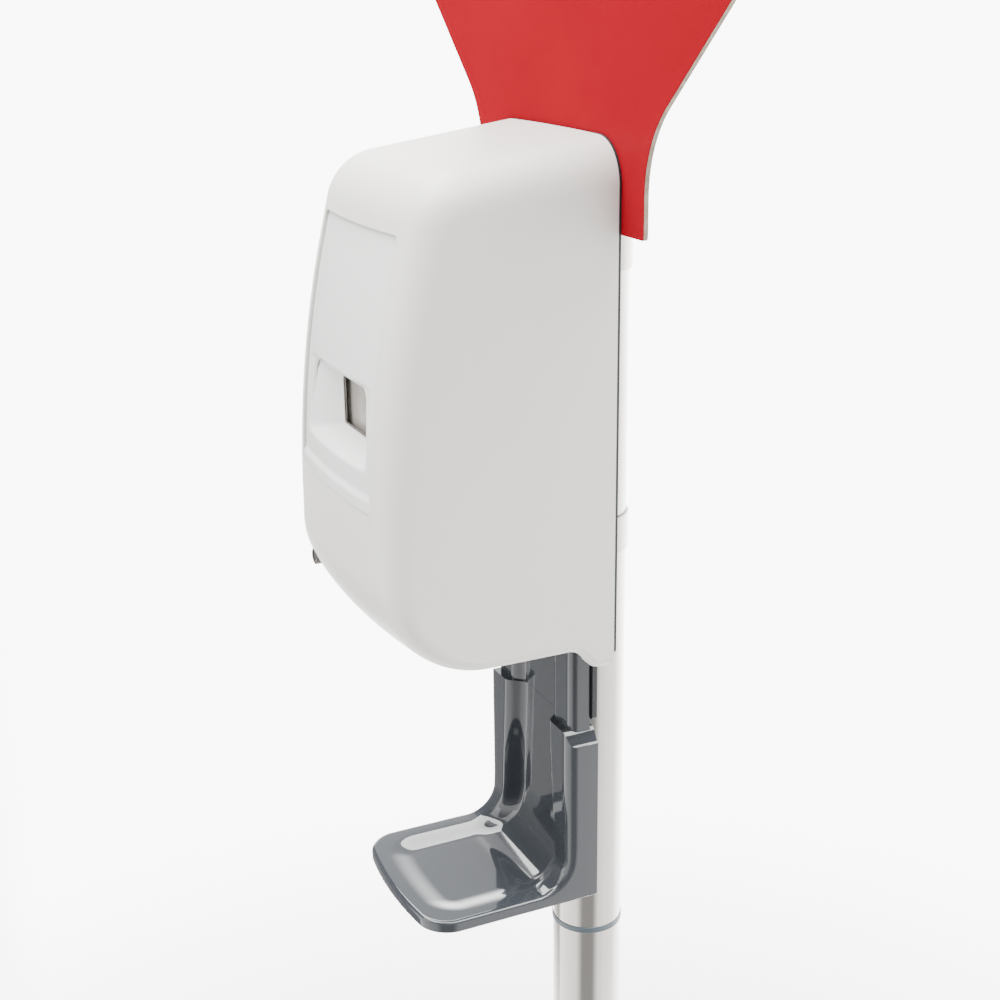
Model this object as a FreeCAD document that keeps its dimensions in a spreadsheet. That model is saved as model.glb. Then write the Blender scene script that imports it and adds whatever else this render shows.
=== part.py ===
import FreeCAD, Part
import math
import os
import Sketcher
from FreeCAD import Placement, Rotation, Vector
from types import SimpleNamespace

# Hand sanitizer floor stand: a round weighted base, a two-piece steel pole, a touch-free
# dispenser with a hinged cover, a drip tray and a flared sign panel.
# Millimetres, +Z up, origin on the floor at the pole's axis, dispenser facing -Y.

# Driving dimensions: alias, value, meaning
SIZES = (
    ("base_diameter", 350, "round base plate"),
    ("base_thickness", 8, "base plate, flat steel"),
    ("base_edge_round", 3, "rounded upper edge of the base plate"),
    ("foot_diameter", 28, "rubber foot"),
    ("foot_height", 4, "rubber foot under the plate"),
    ("foot_ring_diameter", 290, "circle that the feet stand on"),
    ("foot_count", 4, "rubber feet"),
    ("bolt_diameter", 12, "countersunk bolt into the pole"),
    ("bolt_head_diameter", 24, "head of the countersunk bolt"),
    ("bolt_length", 48, "bolt from head face to tip"),
    ("collar_diameter", 62, "turned collar on the base plate"),
    ("collar_top_diameter", 46, "collar at its upper rim"),
    ("collar_height", 16, "collar height"),
    ("pole_diameter", 38.1, "outside of both tubes"),
    ("pole_wall", 1.5, "tube wall"),
    ("tube_fit", 0.05, "radial room between a plug and its tube"),
    ("plug_length", 42, "threaded plug in the foot of the tube"),
    ("joint_height", 850, "floor to the upper edge of the joint ring"),
    ("ring_height", 3.5, "grey ring between the tubes"),
    ("ring_proud", 0.4, "how far the ring stands out of the tube"),
    ("spigot_reach", 60, "spigot into each tube"),
    ("plate_gap", 0.15, "pole to the back plate"),
    ("plate_thickness", 2.5, "dispenser back plate"),
    ("plate_bottom", 186, "wide part of the back plate, above the joint"),
    ("plate_neck_width", 92, "back plate below the dispenser"),
    ("plate_neck_bottom", 144, "lower edge of the back plate, above the joint"),
    ("sign_thickness", 2.6, "laminated board"),
    ("sign_neck_width", 169.5, "sign beside the pole"),
    ("sign_bottom", 392, "lower edge of the sign, above the joint"),
    ("sign_flare_height", 434, "where the sides turn outwards, above the joint"),
    ("sign_flare_angle", 47.4, "flare from the vertical"),
    ("sign_flare_round", 52, "round of the turn"),
    ("sign_width", 380, "sign panel at its widest"),
    ("sign_top", 740, "upper edge of the sign, above the joint"),
    ("sign_corner", 24, "upper corners of the sign"),
    ("sign_shoulder_round", 40, "round above the flare"),
    ("fitting_bottom", 366, "skirt of the top fitting, above the joint"),
    ("fitting_top", 478, "crown of the top fitting, above the joint"),
    ("fitting_wall", 1.65, "skirt wall outside the tube"),
    ("fitting_slot", 18, "slot in the skirt for the back plate"),
    ("clamp_bottom", 221, "lower clamp, above the joint"),
    ("clamp_width", 19, "height of the clamp band"),
    ("clamp_thickness", 1.2, "clamp band"),
    ("clamp_ear_reach", 37, "pole axis to the end of an ear"),
    ("clamp_screw_spacing", 57, "across the two ears"),
    ("screw_diameter", 5, "M5 screws"),
    ("cover_width", 131, "dispenser cover"),
    ("cover_rear", 20.6, "pole axis to the cover's rear rim"),
    ("cover_front", 140, "pole axis to the foremost line of the cover"),
    ("cover_bottom", 192.7, "underside of the cover, above the joint"),
    ("cover_top", 435, "rear upper edge of the cover, above the joint"),
    ("cover_wall", 3, "moulded wall"),
    ("cover_lean", 13.5, "upper front leans back"),
    ("cover_lean_height", 320, "where the front starts to lean, above the joint"),
    ("cover_slope", 8.3, "top falls towards the front"),
    ("cover_belly_round", 48, "round from the underside to the front"),
    ("cover_face_round", 540, "soft bend of the front face"),
    ("cover_brow_round", 28, "round from the front to the top"),
    ("cover_bow_round", 400, "front face in plan"),
    ("side_round_top", 21, "side edges at the rear upper corner"),
    ("side_round_brow", 18.5, "side edges at the brow"),
    ("side_round_face", 17, "side edges in the upper front"),
    ("side_round_front", 16, "side edges at the foremost line"),
    ("side_round_belly", 5, "side edges at the underside"),
    ("side_round_bottom", 3.5, "side edges at the rear lower corner"),
    ("cover_mouth", 88, "pole axis to the front of the opening underneath"),
    ("lobe_bottom", 182, "hinge lobe, above the joint"),
    ("lobe_depth", 26, "hinge lobe front to back"),
    ("lobe_slant", 10, "slant of the lobe's front"),
    ("lobe_hollow_round", 8, "hollow round where the lobe starts"),
    ("lobe_round", 7, "front lower round of the lobe"),
    ("lobe_rear_round", 6, "rear lower round of the lobe, clears the back plate"),
    ("hinge_rise", 6.5, "hinge axis above the underside of the lobe"),
    ("hinge_setback", 29, "pole axis to the hinge axis"),
    ("hinge_pin_diameter", 4, "hinge pins"),
    ("hinge_boss_diameter", 11, "round bosses inside the cover"),
    ("running_fit", 0.06, "radial running clearance of a pin"),
    ("seat_gap", 0.3, "room between pieces that move or only touch"),
    ("panel_width", 95, "glossy inlay in the front"),
    ("panel_bottom", 272, "inlay lower edge, above the joint"),
    ("panel_top", 397, "inlay upper edge, above the joint"),
    ("panel_corner", 3, "inlay corners"),
    ("panel_thickness", 1.2, "inlay sheet"),
    ("panel_sunk", 0.7, "inlay below the cover's face"),
    ("scoop_width", 82, "opening of the scoop in the front"),
    ("scoop_bottom", 291, "scoop lower edge, above the joint"),
    ("scoop_top", 330, "scoop upper edge, above the joint"),
    ("scoop_corner", 8, "scoop corners"),
    ("scoop_floor", 122, "pole axis to the floor of the scoop"),
    ("window_width", 40, "sight window"),
    ("window_bottom", 297, "sight window lower edge, above the joint"),
    ("window_top", 322, "sight window upper edge, above the joint"),
    ("window_corner", 3, "sight window corners"),
    ("window_thickness", 1.6, "sight window"),
    ("lock_side", 48.5, "lock axis from the middle of the front"),
    ("lock_height", 220, "lock axis, above the joint"),
    ("lock_diameter", 7.4, "lock barrel"),
    ("lock_sink_diameter", 8.8, "round recess around the lock face"),
    ("lock_face", 131, "pole axis to the lock face"),
    ("lock_boss_diameter", 12.6, "boss behind the lock"),
    ("lock_boss_end", 119, "pole axis to the end of the boss"),
    ("lock_cam_face", 114.5, "pole axis to the front of the cam"),
    ("lock_cam_thickness", 2.5, "cam plate"),
    ("lock_cam_reach", 11, "cam tip from the lock axis"),
    ("fitting_seat", 389, "upper end of the upper tube, above the joint"),
    ("sign_screw_spacing", 24, "screws through the sign"),
    ("sign_screw_height", 410, "screws through the sign, above the joint"),
    ("plate_tip", 4, "slanted lower tips of the flange"),
    ("screw_head_height", 2.8, "pan head"),
    ("hinge_boss_length", 5.5, "hinge boss inside the side wall"),
    ("hinge_pin_length", 10.5, "hinge pin"),
    ("ear_thickness", 4, "hinge ears of the inner frame"),
    ("keeper_lip", 2.5, "hook behind the lock cam"),
    ("window_lap", 4, "window frame around the window"),
    ("scoop_back", 120.4, "pole axis to the back of the window frame"),
    ("chassis_wall", 2.3, "moulded wall of the inner frame"),
    ("chassis_top", 424, "inner frame, above the joint"),
    ("housing_width", 112.8, "drive housing"),
    ("housing_front", 100, "pole axis to the front of the drive housing"),
    ("housing_floor", 199, "underside of the drive housing, above the joint"),
    ("housing_rim", 258, "upper rim of the drive housing, above the joint"),
    ("lid_thickness", 2, "shelf over the drive"),
    ("nozzle_setback", 76, "pole axis to the pump axis"),
    ("nozzle_opening", 30, "opening under the pump"),
    ("lens_diameter", 12, "hand sensor lens"),
    ("lens_side", 26, "hand sensor beside the middle"),
    ("lens_setback", 84, "pole axis to the hand sensor"),
    ("gear_module", 1, "gear module"),
    ("gear_teeth", 30, "drive gear"),
    ("pinion_teeth", 12, "motor pinion"),
    ("gear_width", 6, "face width of the gears"),
    ("gear_backlash", 0.3, "backlash on the pitch circle"),
    ("gear_addendum", 0.85, "tooth above the pitch circle, in modules"),
    ("gear_setback", 44, "pole axis to both gear axes"),
    ("gear_height", 220, "drive gear axis, above the joint"),
    ("axle_diameter", 4, "gear axle"),
    ("shaft_diameter", 2.3, "motor shaft"),
    ("bracket_width", 16, "gear bracket outside"),
    ("bracket_sheet", 1.5, "gear bracket sheet"),
    ("motor_diameter", 20, "motor can"),
    ("motor_length", 28, "motor can"),
    ("rack_bottom", 206, "rack, above the joint"),
    ("rack_top", 234, "rack, above the joint"),
    ("fork_height", 210, "fork plate of the pusher, above the joint"),
    ("fork_thickness", 3.7, "fork plate of the pusher"),
    ("guide_spacing", 44, "guide rods"),
    ("guide_diameter", 4, "guide rods"),
    ("bottle_width", 100, "refill bottle"),
    ("bottle_rear", 43, "pole axis to the rear of the bottle"),
    ("bottle_front", 110, "pole axis to the front of the bottle"),
    ("bottle_bottom", 275, "refill bottle, above the joint"),
    ("bottle_top", 400, "refill bottle, above the joint"),
    ("bottle_corner", 14, "bottle corners"),
    ("neck_diameter", 34, "pump cap over the bottle neck"),
    ("pump_diameter", 18, "pump cylinder"),
    ("pump_bottom", 228, "lower end of the pump cylinder, above the joint"),
    ("stem_diameter", 8, "pump stem"),
    ("nozzle_diameter", 12, "nozzle above its tip"),
    ("nozzle_tip", 200, "nozzle tip, above the joint"),
    ("battery_diameter", 14.2, "AA cell"),
    ("battery_length", 50.5, "AA cell"),
    ("battery_pitch", 15.2, "between cells"),
    ("battery_count", 4, "cells side by side"),
    ("battery_bottom", 285, "battery box, above the joint"),
    ("case_wall", 1.5, "battery box wall"),
    ("board_thickness", 1.6, "circuit board"),
    ("board_depth", 60, "circuit board front to back"),
    ("board_height", 45, "circuit board height"),
    ("tray_width", 97, "drip tray"),
    ("tray_gap", 0.55, "pole to the tray"),
    ("tray_bottom", 43, "underside of the tray, above the joint"),
    ("tray_plate_top", 49.5, "rim of the tray, above the joint"),
    ("tray_shoulder", 139, "top of the broad column, above the joint"),
    ("tray_top", 197.5, "upper end of the tray, above the joint"),
    ("tray_column_front", 36.5, "pole axis to the column's front"),
    ("tray_front", 117, "pole axis to the tray's front"),
    ("tray_bow", 4.5, "front corners behind the middle of the bowed front"),
    ("tray_bow_rise", 2.5, "bowed front to the meeting point of its tangents"),
    ("tray_bow_round", 240, "bowed front"),
    ("tray_front_corner", 14, "front corners of the tray"),
    ("tray_roll", 17, "hollow round from the plate to the column"),
    ("tray_step", 4.5, "tongue narrower than the column, each side"),
    ("channel_low_width", 60, "channel in the column, lower end"),
    ("channel_high_width", 48, "channel in the column, upper end"),
    ("channel_back", 28, "pole axis to the floor of the channel"),
    ("dish_margin", 13, "rim around the dish"),
    ("dish_rear", 52, "pole axis to the rear edge of the dish"),
    ("dish_depth", 3, "dish"),
    ("dish_bow_round", 120, "bowed front of the dish"),
)

doc = FreeCAD.newDocument("floor_stand")
sheet = doc.addObject("Spreadsheet::Sheet", "dim")
for row, (alias, value, meaning) in enumerate(SIZES, 1):
    sheet.set("A%d" % row, meaning)
    sheet.set("B%d" % row, str(value))
    sheet.setAlias("B%d" % row, alias)
doc.recompute()
d = SimpleNamespace(**{alias: float(sheet.get(alias)) for alias, _, _ in SIZES})

# Directions that a primitive's own +Z is turned to
TURN = {
    "Z": Rotation(),
    "X": Rotation(Vector(0, 1, 0), 90),
    "Y": Rotation(Vector(1, 0, 0), -90),
    "-Y": Rotation(Vector(1, 0, 0), 90),
}
# Sketch plane seen from +X: sketch x runs along Y and sketch y along Z
SIDE_VIEW = Rotation(Vector(0, 1, 0), Vector(0, 0, 1), Vector(1, 0, 0), "ZXY")
# Round of the cover's side edges by direction from the middle of the side, in degrees from the rear
SIDE_ROUNDS = (
    (40, d.side_round_top),
    (112, d.side_round_brow),
    (150, d.side_round_face),
    (231, d.side_round_front),
    (266, d.side_round_belly),
    (330, d.side_round_bottom),
)
parts = {}


def place(item, at, turn="Z"):
    """Put an object at three expressions, with its +Z turned to a direction."""
    item.Placement = Placement(Vector(), TURN[turn])
    for axis, expression in zip("xyz", at):
        if expression:
            item.setExpression("Placement.Base." + axis, expression)


def cylinder(name, diameter, length, at, turn="Z"):
    item = doc.addObject("Part::Cylinder", name)
    item.setExpression("Radius", "(%s) / 2" % diameter)
    item.setExpression("Height", length)
    place(item, at, turn)
    return item


def cone(name, low_diameter, high_diameter, length, at, turn="Z"):
    item = doc.addObject("Part::Cone", name)
    item.setExpression("Radius1", "(%s) / 2" % low_diameter)
    item.setExpression("Radius2", "(%s) / 2" % high_diameter)
    item.setExpression("Height", length)
    place(item, at, turn)
    return item


def box(name, sides, at):
    item = doc.addObject("Part::Box", name)
    for side, expression in zip(("Length", "Width", "Height"), sides):
        item.setExpression(side, expression)
    place(item, at)
    return item


def prism(name, corners, diameter, length, at, turn="Z"):
    """Hexagonal or other regular prism, sized by its outer circle."""
    item = doc.addObject("Part::Prism", name)
    item.Polygon = corners
    item.setExpression("Circumradius", "(%s) / 2" % diameter)
    item.setExpression("Height", length)
    place(item, at, turn)
    return item


def fuse(name, *items):
    item = doc.addObject("Part::MultiFuse", name)
    item.Shapes = list(items)
    item.Refine = True
    return item


def cut(name, base, *tools):
    for number, tool in enumerate(tools, 1):
        last = number == len(tools)
        item = doc.addObject("Part::Cut", name if last else "%s_step_%d" % (name, number))
        item.Base = base
        item.Tool = tool
        base = item
    return base


def common(name, first, second):
    item = doc.addObject("Part::Common", name)
    item.Base = first
    item.Tool = second
    return item


def group(name, *items):
    """Several like solids in one node."""
    item = doc.addObject("Part::Compound", name)
    item.Links = list(items)
    return item


def outline(corners):
    """Edges of a closed outline: (x, y, radius) corners joined by lines and tangent arcs."""
    turns = []
    for k, (x, y, radius) in enumerate(corners):
        corner = Vector(x, y, 0)
        before = Vector(*corners[k - 1][:2], 0) - corner
        after = Vector(*corners[(k + 1) % len(corners)][:2], 0) - corner
        before.normalize()
        after.normalize()
        if radius <= 0:
            turns.append((corner, None, corner))
            continue
        half = before.getAngle(after) / 2
        start = corner + before * (radius / math.tan(half))
        end = corner + after * (radius / math.tan(half))
        inward = (before + after).normalize()
        middle = corner + inward * (radius / math.sin(half) - radius)
        turns.append((start, middle, end))
    edges = []
    for k, (start, middle, end) in enumerate(turns):
        if middle:
            edges.append(Part.Arc(start, middle, end))
        following = turns[(k + 1) % len(turns)][0]
        if following.distanceToPoint(end) > 1e-6:
            edges.append(Part.LineSegment(end, following))
    return edges


def draw(sketch, corners):
    """Draw a closed outline in a sketch and join its ends."""
    first = sketch.GeometryCount
    edges = outline(corners)
    sketch.addGeometry(edges, False)
    for k, edge in enumerate(edges):
        other = (k + 1) % len(edges)
        end = 2
        start = 1
        if isinstance(edge, Part.Arc) and edge.toShape().Curve.Axis.z < 0:
            end = 1
        if isinstance(edges[other], Part.Arc) and edges[other].toShape().Curve.Axis.z < 0:
            start = 2
        sketch.addConstraint(Sketcher.Constraint("Coincident", first + k, end, first + other, start))
    return sketch


def free_sketch(name, corners, turn, at=("", "", "")):
    sketch = doc.addObject("Sketcher::SketchObject", name)
    draw(sketch, corners)
    sketch.Placement = Placement(Vector(), turn)
    for axis, expression in zip("xyz", at):
        if expression:
            sketch.setExpression("Placement.Base." + axis, expression)
    return sketch


def body(name, height="dim.joint_height"):
    """A body whose own zero is at a height above the floor."""
    item = doc.addObject("PartDesign::Body", name)
    item.setExpression("Placement.Base.z", height)
    return item


def sketch_on(owner, plane, name, corners=None, offset=None):
    sketch = owner.newObject("Sketcher::SketchObject", name)
    origin_plane = [item for item in owner.Origin.OriginFeatures if item.Role == plane][0]
    sketch.AttachmentSupport = [(origin_plane, "")]
    sketch.MapMode = "FlatFace"
    if offset:
        sketch.setExpression("AttachmentOffset.Base.z", offset)
    if corners:
        draw(sketch, corners)
    return sketch


def circle(sketch, diameter, x="0", y="0"):
    """Add a circle whose size and centre are expressions."""
    index = sketch.addGeometry(Part.Circle(Vector(1, 1, 0), Vector(0, 0, 1), 1), False)
    driven = (
        ("Diameter", (index,), diameter),
        ("DistanceX", (-1, 1, index, 3), x),
        ("DistanceY", (-1, 1, index, 3), y),
    )
    for kind, where, expression in driven:
        number = sketch.addConstraint(Sketcher.Constraint(kind, *where, 1.0))
        sketch.setExpression("Constraints[%d]" % number, expression)
    return sketch


def rectangle(x0, y0, x1, y1, radius=0):
    return [(x0, y0, radius), (x1, y0, radius), (x1, y1, radius), (x0, y1, radius)]


def feature(kind, owner, name, sketch, length, reverse=False, middle=False):
    item = owner.newObject("PartDesign::" + kind, name)
    item.Profile = sketch
    item.Reversed = reverse
    item.Midplane = middle
    item.setExpression("Length", length)
    return item


def pad(owner, name, sketch, length, reverse=False, middle=False):
    return feature("Pad", owner, name, sketch, length, reverse, middle)


def pocket(owner, name, sketch, length, reverse=False, middle=False):
    return feature("Pocket", owner, name, sketch, length, reverse, middle)


def revolve(owner, name, sketch, axis="V_Axis"):
    item = owner.newObject("PartDesign::Revolution", name)
    item.Profile = sketch
    item.ReferenceAxis = (sketch, [axis])
    item.Angle = 360
    return item


def edges_where(shape, test):
    return ["Edge%d" % number for number, edge in enumerate(shape.Edges, 1) if test(edge)]


def round_edges(owner, name, base, radius, test, kind="Fillet"):
    """Fillet or chamfer the edges of a feature that pass a test."""
    doc.recompute()
    item = owner.newObject("PartDesign::" + kind, name)
    item.Base = (base, edges_where(base.Shape, test))
    item.setExpression("Radius" if kind == "Fillet" else "Size", radius)
    return item


def round_part(name, base, radius, test, end_radius=None):
    """Fillet edges of a solid; with an end radius the round changes along each edge."""
    doc.recompute()
    item = doc.addObject("Part::Fillet", name)
    item.Base = base
    numbers = [number for number, edge in enumerate(base.Shape.Edges, 1) if test(edge)]
    item.Edges = [(number, radius, end_radius or radius) for number in numbers]
    return item


def along(edge, axis):
    """True for a straight edge along an axis."""
    size_of = edge.BoundBox
    spans = {"x": size_of.XLength, "y": size_of.YLength, "z": size_of.ZLength}
    return spans.pop(axis) > 1e-3 and max(spans.values()) < 1e-3


def node(name, item):
    """Name a finished piece."""
    item.Label = name
    parts[name] = item
    return item


def up(alias):
    return "dim.joint_height + dim." + alias


def make_base():
    plate = body("base_body", "dim.foot_height")
    radius = d.base_diameter / 2
    hole = d.bolt_diameter / 2 + d.seat_gap
    head = d.bolt_head_diameter / 2 + d.seat_gap
    profile = [
        (hole, head - hole, 0),
        (head, 0, 0),
        (radius, 0, 1),
        (radius, d.base_thickness, d.base_edge_round),
        (hole, d.base_thickness, 0),
    ]
    revolve(plate, "base_turned", sketch_on(plate, "XZ_Plane", "base_profile", profile))
    node("base_plate", plate)

    feet = []
    for k in range(int(d.foot_count)):
        angle = "%d * 360 / dim.foot_count + 45" % k
        at = (
            "dim.foot_ring_diameter / 2 * cos(%s)" % angle,
            "dim.foot_ring_diameter / 2 * sin(%s)" % angle,
            "0",
        )
        feet.append(cone("foot_%d" % k, "dim.foot_diameter", "dim.foot_diameter - 4", "dim.foot_height", at))
    node("rubber_feet", group("feet", *feet))

    bolt = body("bolt_body", "dim.foot_height")
    shank = d.bolt_diameter / 2
    rim = d.bolt_head_diameter / 2
    profile = [
        (0, 0.3, 0),
        (rim, 0.3, 0),
        (shank, 0.3 + rim - shank, 0),
        (shank, d.bolt_length, 0.8),
        (0, d.bolt_length, 0),
    ]
    revolve(bolt, "bolt_turned", sketch_on(bolt, "XZ_Plane", "bolt_profile", profile))
    node("base_bolt", bolt)

    collar = body("collar_body", "dim.foot_height + dim.base_thickness")
    bore = d.pole_diameter / 2 + d.tube_fit
    profile = [
        (bore, 0, 0),
        (d.collar_diameter / 2, 0, 0),
        (d.collar_diameter / 2, 3, 1.2),
        (d.collar_top_diameter / 2, d.collar_height, 2),
        (bore, d.collar_height, 0),
    ]
    revolve(collar, "collar_turned", sketch_on(collar, "XZ_Plane", "collar_profile", profile))
    node("foot_collar", collar)


def make_pole():
    floor = "dim.foot_height + dim.base_thickness"
    inside = "dim.pole_diameter - 2 * dim.pole_wall"
    plug_size = inside + " - 2 * dim.tube_fit"

    lower_length = "dim.joint_height - dim.ring_height - dim.foot_height - dim.base_thickness"
    outer = cylinder("lower_outer", "dim.pole_diameter", lower_length, ("0", "0", floor))
    inner = cylinder("lower_inner", inside, lower_length, ("0", "0", floor))
    node("lower_tube", cut("lower_tube_cut", outer, inner))

    upper_length = "dim.fitting_seat"
    outer = cylinder("upper_outer", "dim.pole_diameter", upper_length, ("0", "0", "dim.joint_height"))
    inner = cylinder("upper_inner", inside, upper_length, ("0", "0", "dim.joint_height"))
    node("upper_tube", cut("upper_tube_cut", outer, inner))

    plug = cylinder("plug_round", plug_size, "dim.plug_length", ("0", "0", floor))
    thread = cylinder(
        "plug_bore", "dim.bolt_diameter + 2 * dim.tube_fit", "dim.plug_length", ("0", "0", floor)
    )
    node("foot_plug", cut("foot_plug_cut", plug, thread))

    start = "dim.joint_height - dim.ring_height - dim.spigot_reach"
    length = "2 * dim.spigot_reach + dim.ring_height"
    spigot = cylinder("spigot_round", plug_size, length, ("0", "0", start))
    bore = cylinder("spigot_bore", "dim.pole_diameter / 2", length, ("0", "0", start))
    node("joint_spigot", cut("joint_spigot_cut", spigot, bore))

    ring_start = "dim.joint_height - dim.ring_height"
    ring = cylinder(
        "ring_round", "dim.pole_diameter + 2 * dim.ring_proud", "dim.ring_height", ("0", "0", ring_start)
    )
    hole = cylinder("ring_hole", inside, "dim.ring_height", ("0", "0", ring_start))
    ring = cut("ring_cut", ring, hole)
    rim = d.pole_diameter / 2 + d.ring_proud
    ring = round_part("ring_soft", ring, 0.4, lambda edge: abs(edge.BoundBox.XMax - rim) < 0.01
                      and edge.BoundBox.ZLength < 0.01)
    node("joint_ring", ring)


def make_top_fitting():
    outside = d.pole_diameter / 2 + d.fitting_wall
    fitting = body("fitting_body")
    profile = [
        (0, d.fitting_bottom, 0),
        (outside, d.fitting_bottom, 0.5),
        (outside, d.fitting_top, 7),
        (0, d.fitting_top, 0),
    ]
    revolve(fitting, "fitting_turned", sketch_on(fitting, "XZ_Plane", "fitting_profile", profile))
    sketch = sketch_on(fitting, "XY_Plane", "fitting_socket", offset="dim.fitting_bottom")
    circle(sketch, "dim.pole_diameter + 2 * dim.tube_fit")
    pocket(fitting, "fitting_bore", sketch, "dim.fitting_seat - dim.fitting_bottom + 1", reverse=True)
    back = d.pole_diameter / 2 + d.plate_gap - d.sign_thickness
    sketch = sketch_on(
        fitting, "XY_Plane", "fitting_flat_outline",
        rectangle(-outside - 1, -outside - 1, outside + 1, -back),
        offset="dim.sign_bottom - dim.seat_gap",
    )
    pocket(fitting, "fitting_flat", sketch, "dim.fitting_top", reverse=True)
    slot = rectangle(-d.fitting_slot / 2, -outside - 1, d.fitting_slot / 2, -back)
    sketch = sketch_on(fitting, "XY_Plane", "fitting_slot_outline", slot, "dim.fitting_bottom")
    pocket(fitting, "fitting_slot", sketch, "dim.fitting_top", reverse=True)
    sketch = sketch_on(fitting, "XZ_Plane", "fitting_screw_holes")
    for side in ("-1", "1"):
        circle(sketch, "dim.screw_diameter + 2 * dim.tube_fit", side + " * dim.sign_screw_spacing / 2",
               "dim.sign_screw_height")
    pocket(fitting, "fitting_threads", sketch, "dim.pole_diameter", middle=False, reverse=True)
    node("top_fitting", fitting)


def make_sign():
    half_neck = d.sign_neck_width / 2
    half = d.sign_width / 2
    flare = math.tan(math.radians(d.sign_flare_angle))
    shoulder = d.sign_flare_height + (half - half_neck) / flare
    side = [
        (half_neck, d.sign_bottom, 1.5),
        (half_neck, d.sign_flare_height, d.sign_flare_round),
        (half, shoulder, d.sign_shoulder_round),
        (half, d.sign_top, d.sign_corner),
    ]
    corners = side + [(-x, z, radius) for x, z, radius in reversed(side)]
    sign = body("sign_body")
    front = "dim.pole_diameter / 2 + dim.plate_gap"
    sketch = sketch_on(sign, "XZ_Plane", "sign_outline", corners, front)
    for x in ("-1", "1"):
        circle(sketch, "dim.screw_diameter + 0.6", x + " * dim.sign_screw_spacing / 2", "dim.sign_screw_height")
    pad(sign, "sign_board", sketch, "dim.sign_thickness", reverse=True)
    node("sign_panel", sign)


def make_back_plate():
    plate = body("plate_body")
    front = "dim.pole_diameter / 2 + dim.plate_gap"
    half = d.cover_width / 2 - d.seat_gap
    neck = d.plate_neck_width / 2
    top = d.cover_top - d.seat_gap
    side = [
        (neck, d.plate_neck_bottom, 2),
        (neck, d.plate_bottom, 0),
        (half - d.plate_tip, d.plate_bottom, 0),
        (half, d.plate_bottom + d.plate_tip, 1),
        (half, top, d.side_round_top - d.seat_gap),
    ]
    corners = side + [(-x, z, radius) for x, z, radius in reversed(side)]
    sketch = sketch_on(plate, "XZ_Plane", "flange_outline", corners, front)
    flange = "dim.cover_rear - dim.seat_gap - dim.pole_diameter / 2 - dim.plate_gap"
    pad(plate, "flange", sketch, flange)
    inner = d.cover_width / 2 - d.cover_wall - 2 * d.seat_gap
    inner_top = d.cover_top - d.cover_wall - 4 * d.seat_gap
    round_in = d.side_round_top - d.cover_wall
    side = [
        (neck, d.plate_neck_bottom, 2),
        (neck, d.plate_bottom + 6, 0),
        (inner, d.plate_bottom + 12, 0),
        (inner, inner_top, round_in),
    ]
    corners = side + [(-x, z, radius) for x, z, radius in reversed(side)]
    sketch = sketch_on(plate, "XZ_Plane", "raised_outline", corners, front)
    pad(plate, "raised_field", sketch, "dim.plate_thickness")
    sketch = sketch_on(plate, "XZ_Plane", "plate_screw_holes")
    for x in ("-1", "1"):
        hole = "dim.screw_diameter + 0.6"
        circle(sketch, hole, x + " * dim.sign_screw_spacing / 2", "dim.sign_screw_height")
        circle(sketch, hole, x + " * dim.clamp_screw_spacing / 2", "dim.clamp_bottom + dim.clamp_width / 2")
    pocket(plate, "plate_holes", sketch, "dim.cover_front", reverse=True)
    node("back_plate", plate)


def make_lower_clamp():
    """Saddle strap round the back of the pole with two ears on the back plate."""
    reach = d.pole_diameter / 2 + d.plate_gap
    outside = reach + d.clamp_thickness
    start = ("0", "0", up("clamp_bottom"))
    inner = "dim.pole_diameter + 2 * dim.plate_gap"
    outer = inner + " + 2 * dim.clamp_thickness"
    half_reach = "dim.pole_diameter / 2 + dim.plate_gap"
    band = cylinder("band_round", outer, "dim.clamp_width", start)
    legs = box("band_legs", (outer, half_reach, "dim.clamp_width"),
               ("-(%s) / 2" % outer, "-(%s)" % half_reach, up("clamp_bottom")))
    ears = box("band_ears", ("2 * dim.clamp_ear_reach", "dim.clamp_thickness", "dim.clamp_width"),
               ("-dim.clamp_ear_reach", "-(%s)" % half_reach, up("clamp_bottom")))
    strap = fuse("band_solid", band, legs, ears)
    hollow = cylinder("band_hollow", inner, "dim.clamp_width", start)
    throat = box("band_throat", (inner, "dim.pole_diameter", "dim.clamp_width"),
                 ("-(%s) / 2" % inner, "-dim.pole_diameter", up("clamp_bottom")))
    front = box("band_front", ("4 * dim.pole_diameter", "dim.pole_diameter", "dim.clamp_width"),
                ("-2 * dim.pole_diameter", "-dim.pole_diameter - (%s)" % half_reach, up("clamp_bottom")))
    middle = "dim.joint_height + dim.clamp_bottom + dim.clamp_width / 2"
    holes = []
    for sign in ("-", ""):
        at = (sign + "dim.clamp_screw_spacing / 2", "0", middle)
        holes.append(cylinder("ear_hole" + ("_l" if sign else "_r"), "dim.screw_diameter + 0.6",
                              "dim.pole_diameter", at, "-Y"))
    node("lower_clamp", cut("lower_clamp_cut", strap, hollow, throat, front, *holes))


def screw(name, x, z, head_at, length, head="dim.screw_diameter * 1.9"):
    """Pan-head screw driven towards +Y; head_at is the seat of the head."""
    shank = cylinder(name + "_shank", "dim.screw_diameter", length, (x, head_at, z), "Y")
    cap = cylinder(name + "_cap", head, "dim.screw_head_height",
                   (x, "%s - dim.screw_head_height" % head_at, z), "Y")
    solid = fuse(name + "_solid", shank, cap)
    return round_part(name, solid, 1.2, lambda edge: abs(edge.BoundBox.YMin - solid.Shape.BoundBox.YMin) < 0.01
                      and edge.BoundBox.YLength < 0.01)


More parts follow.
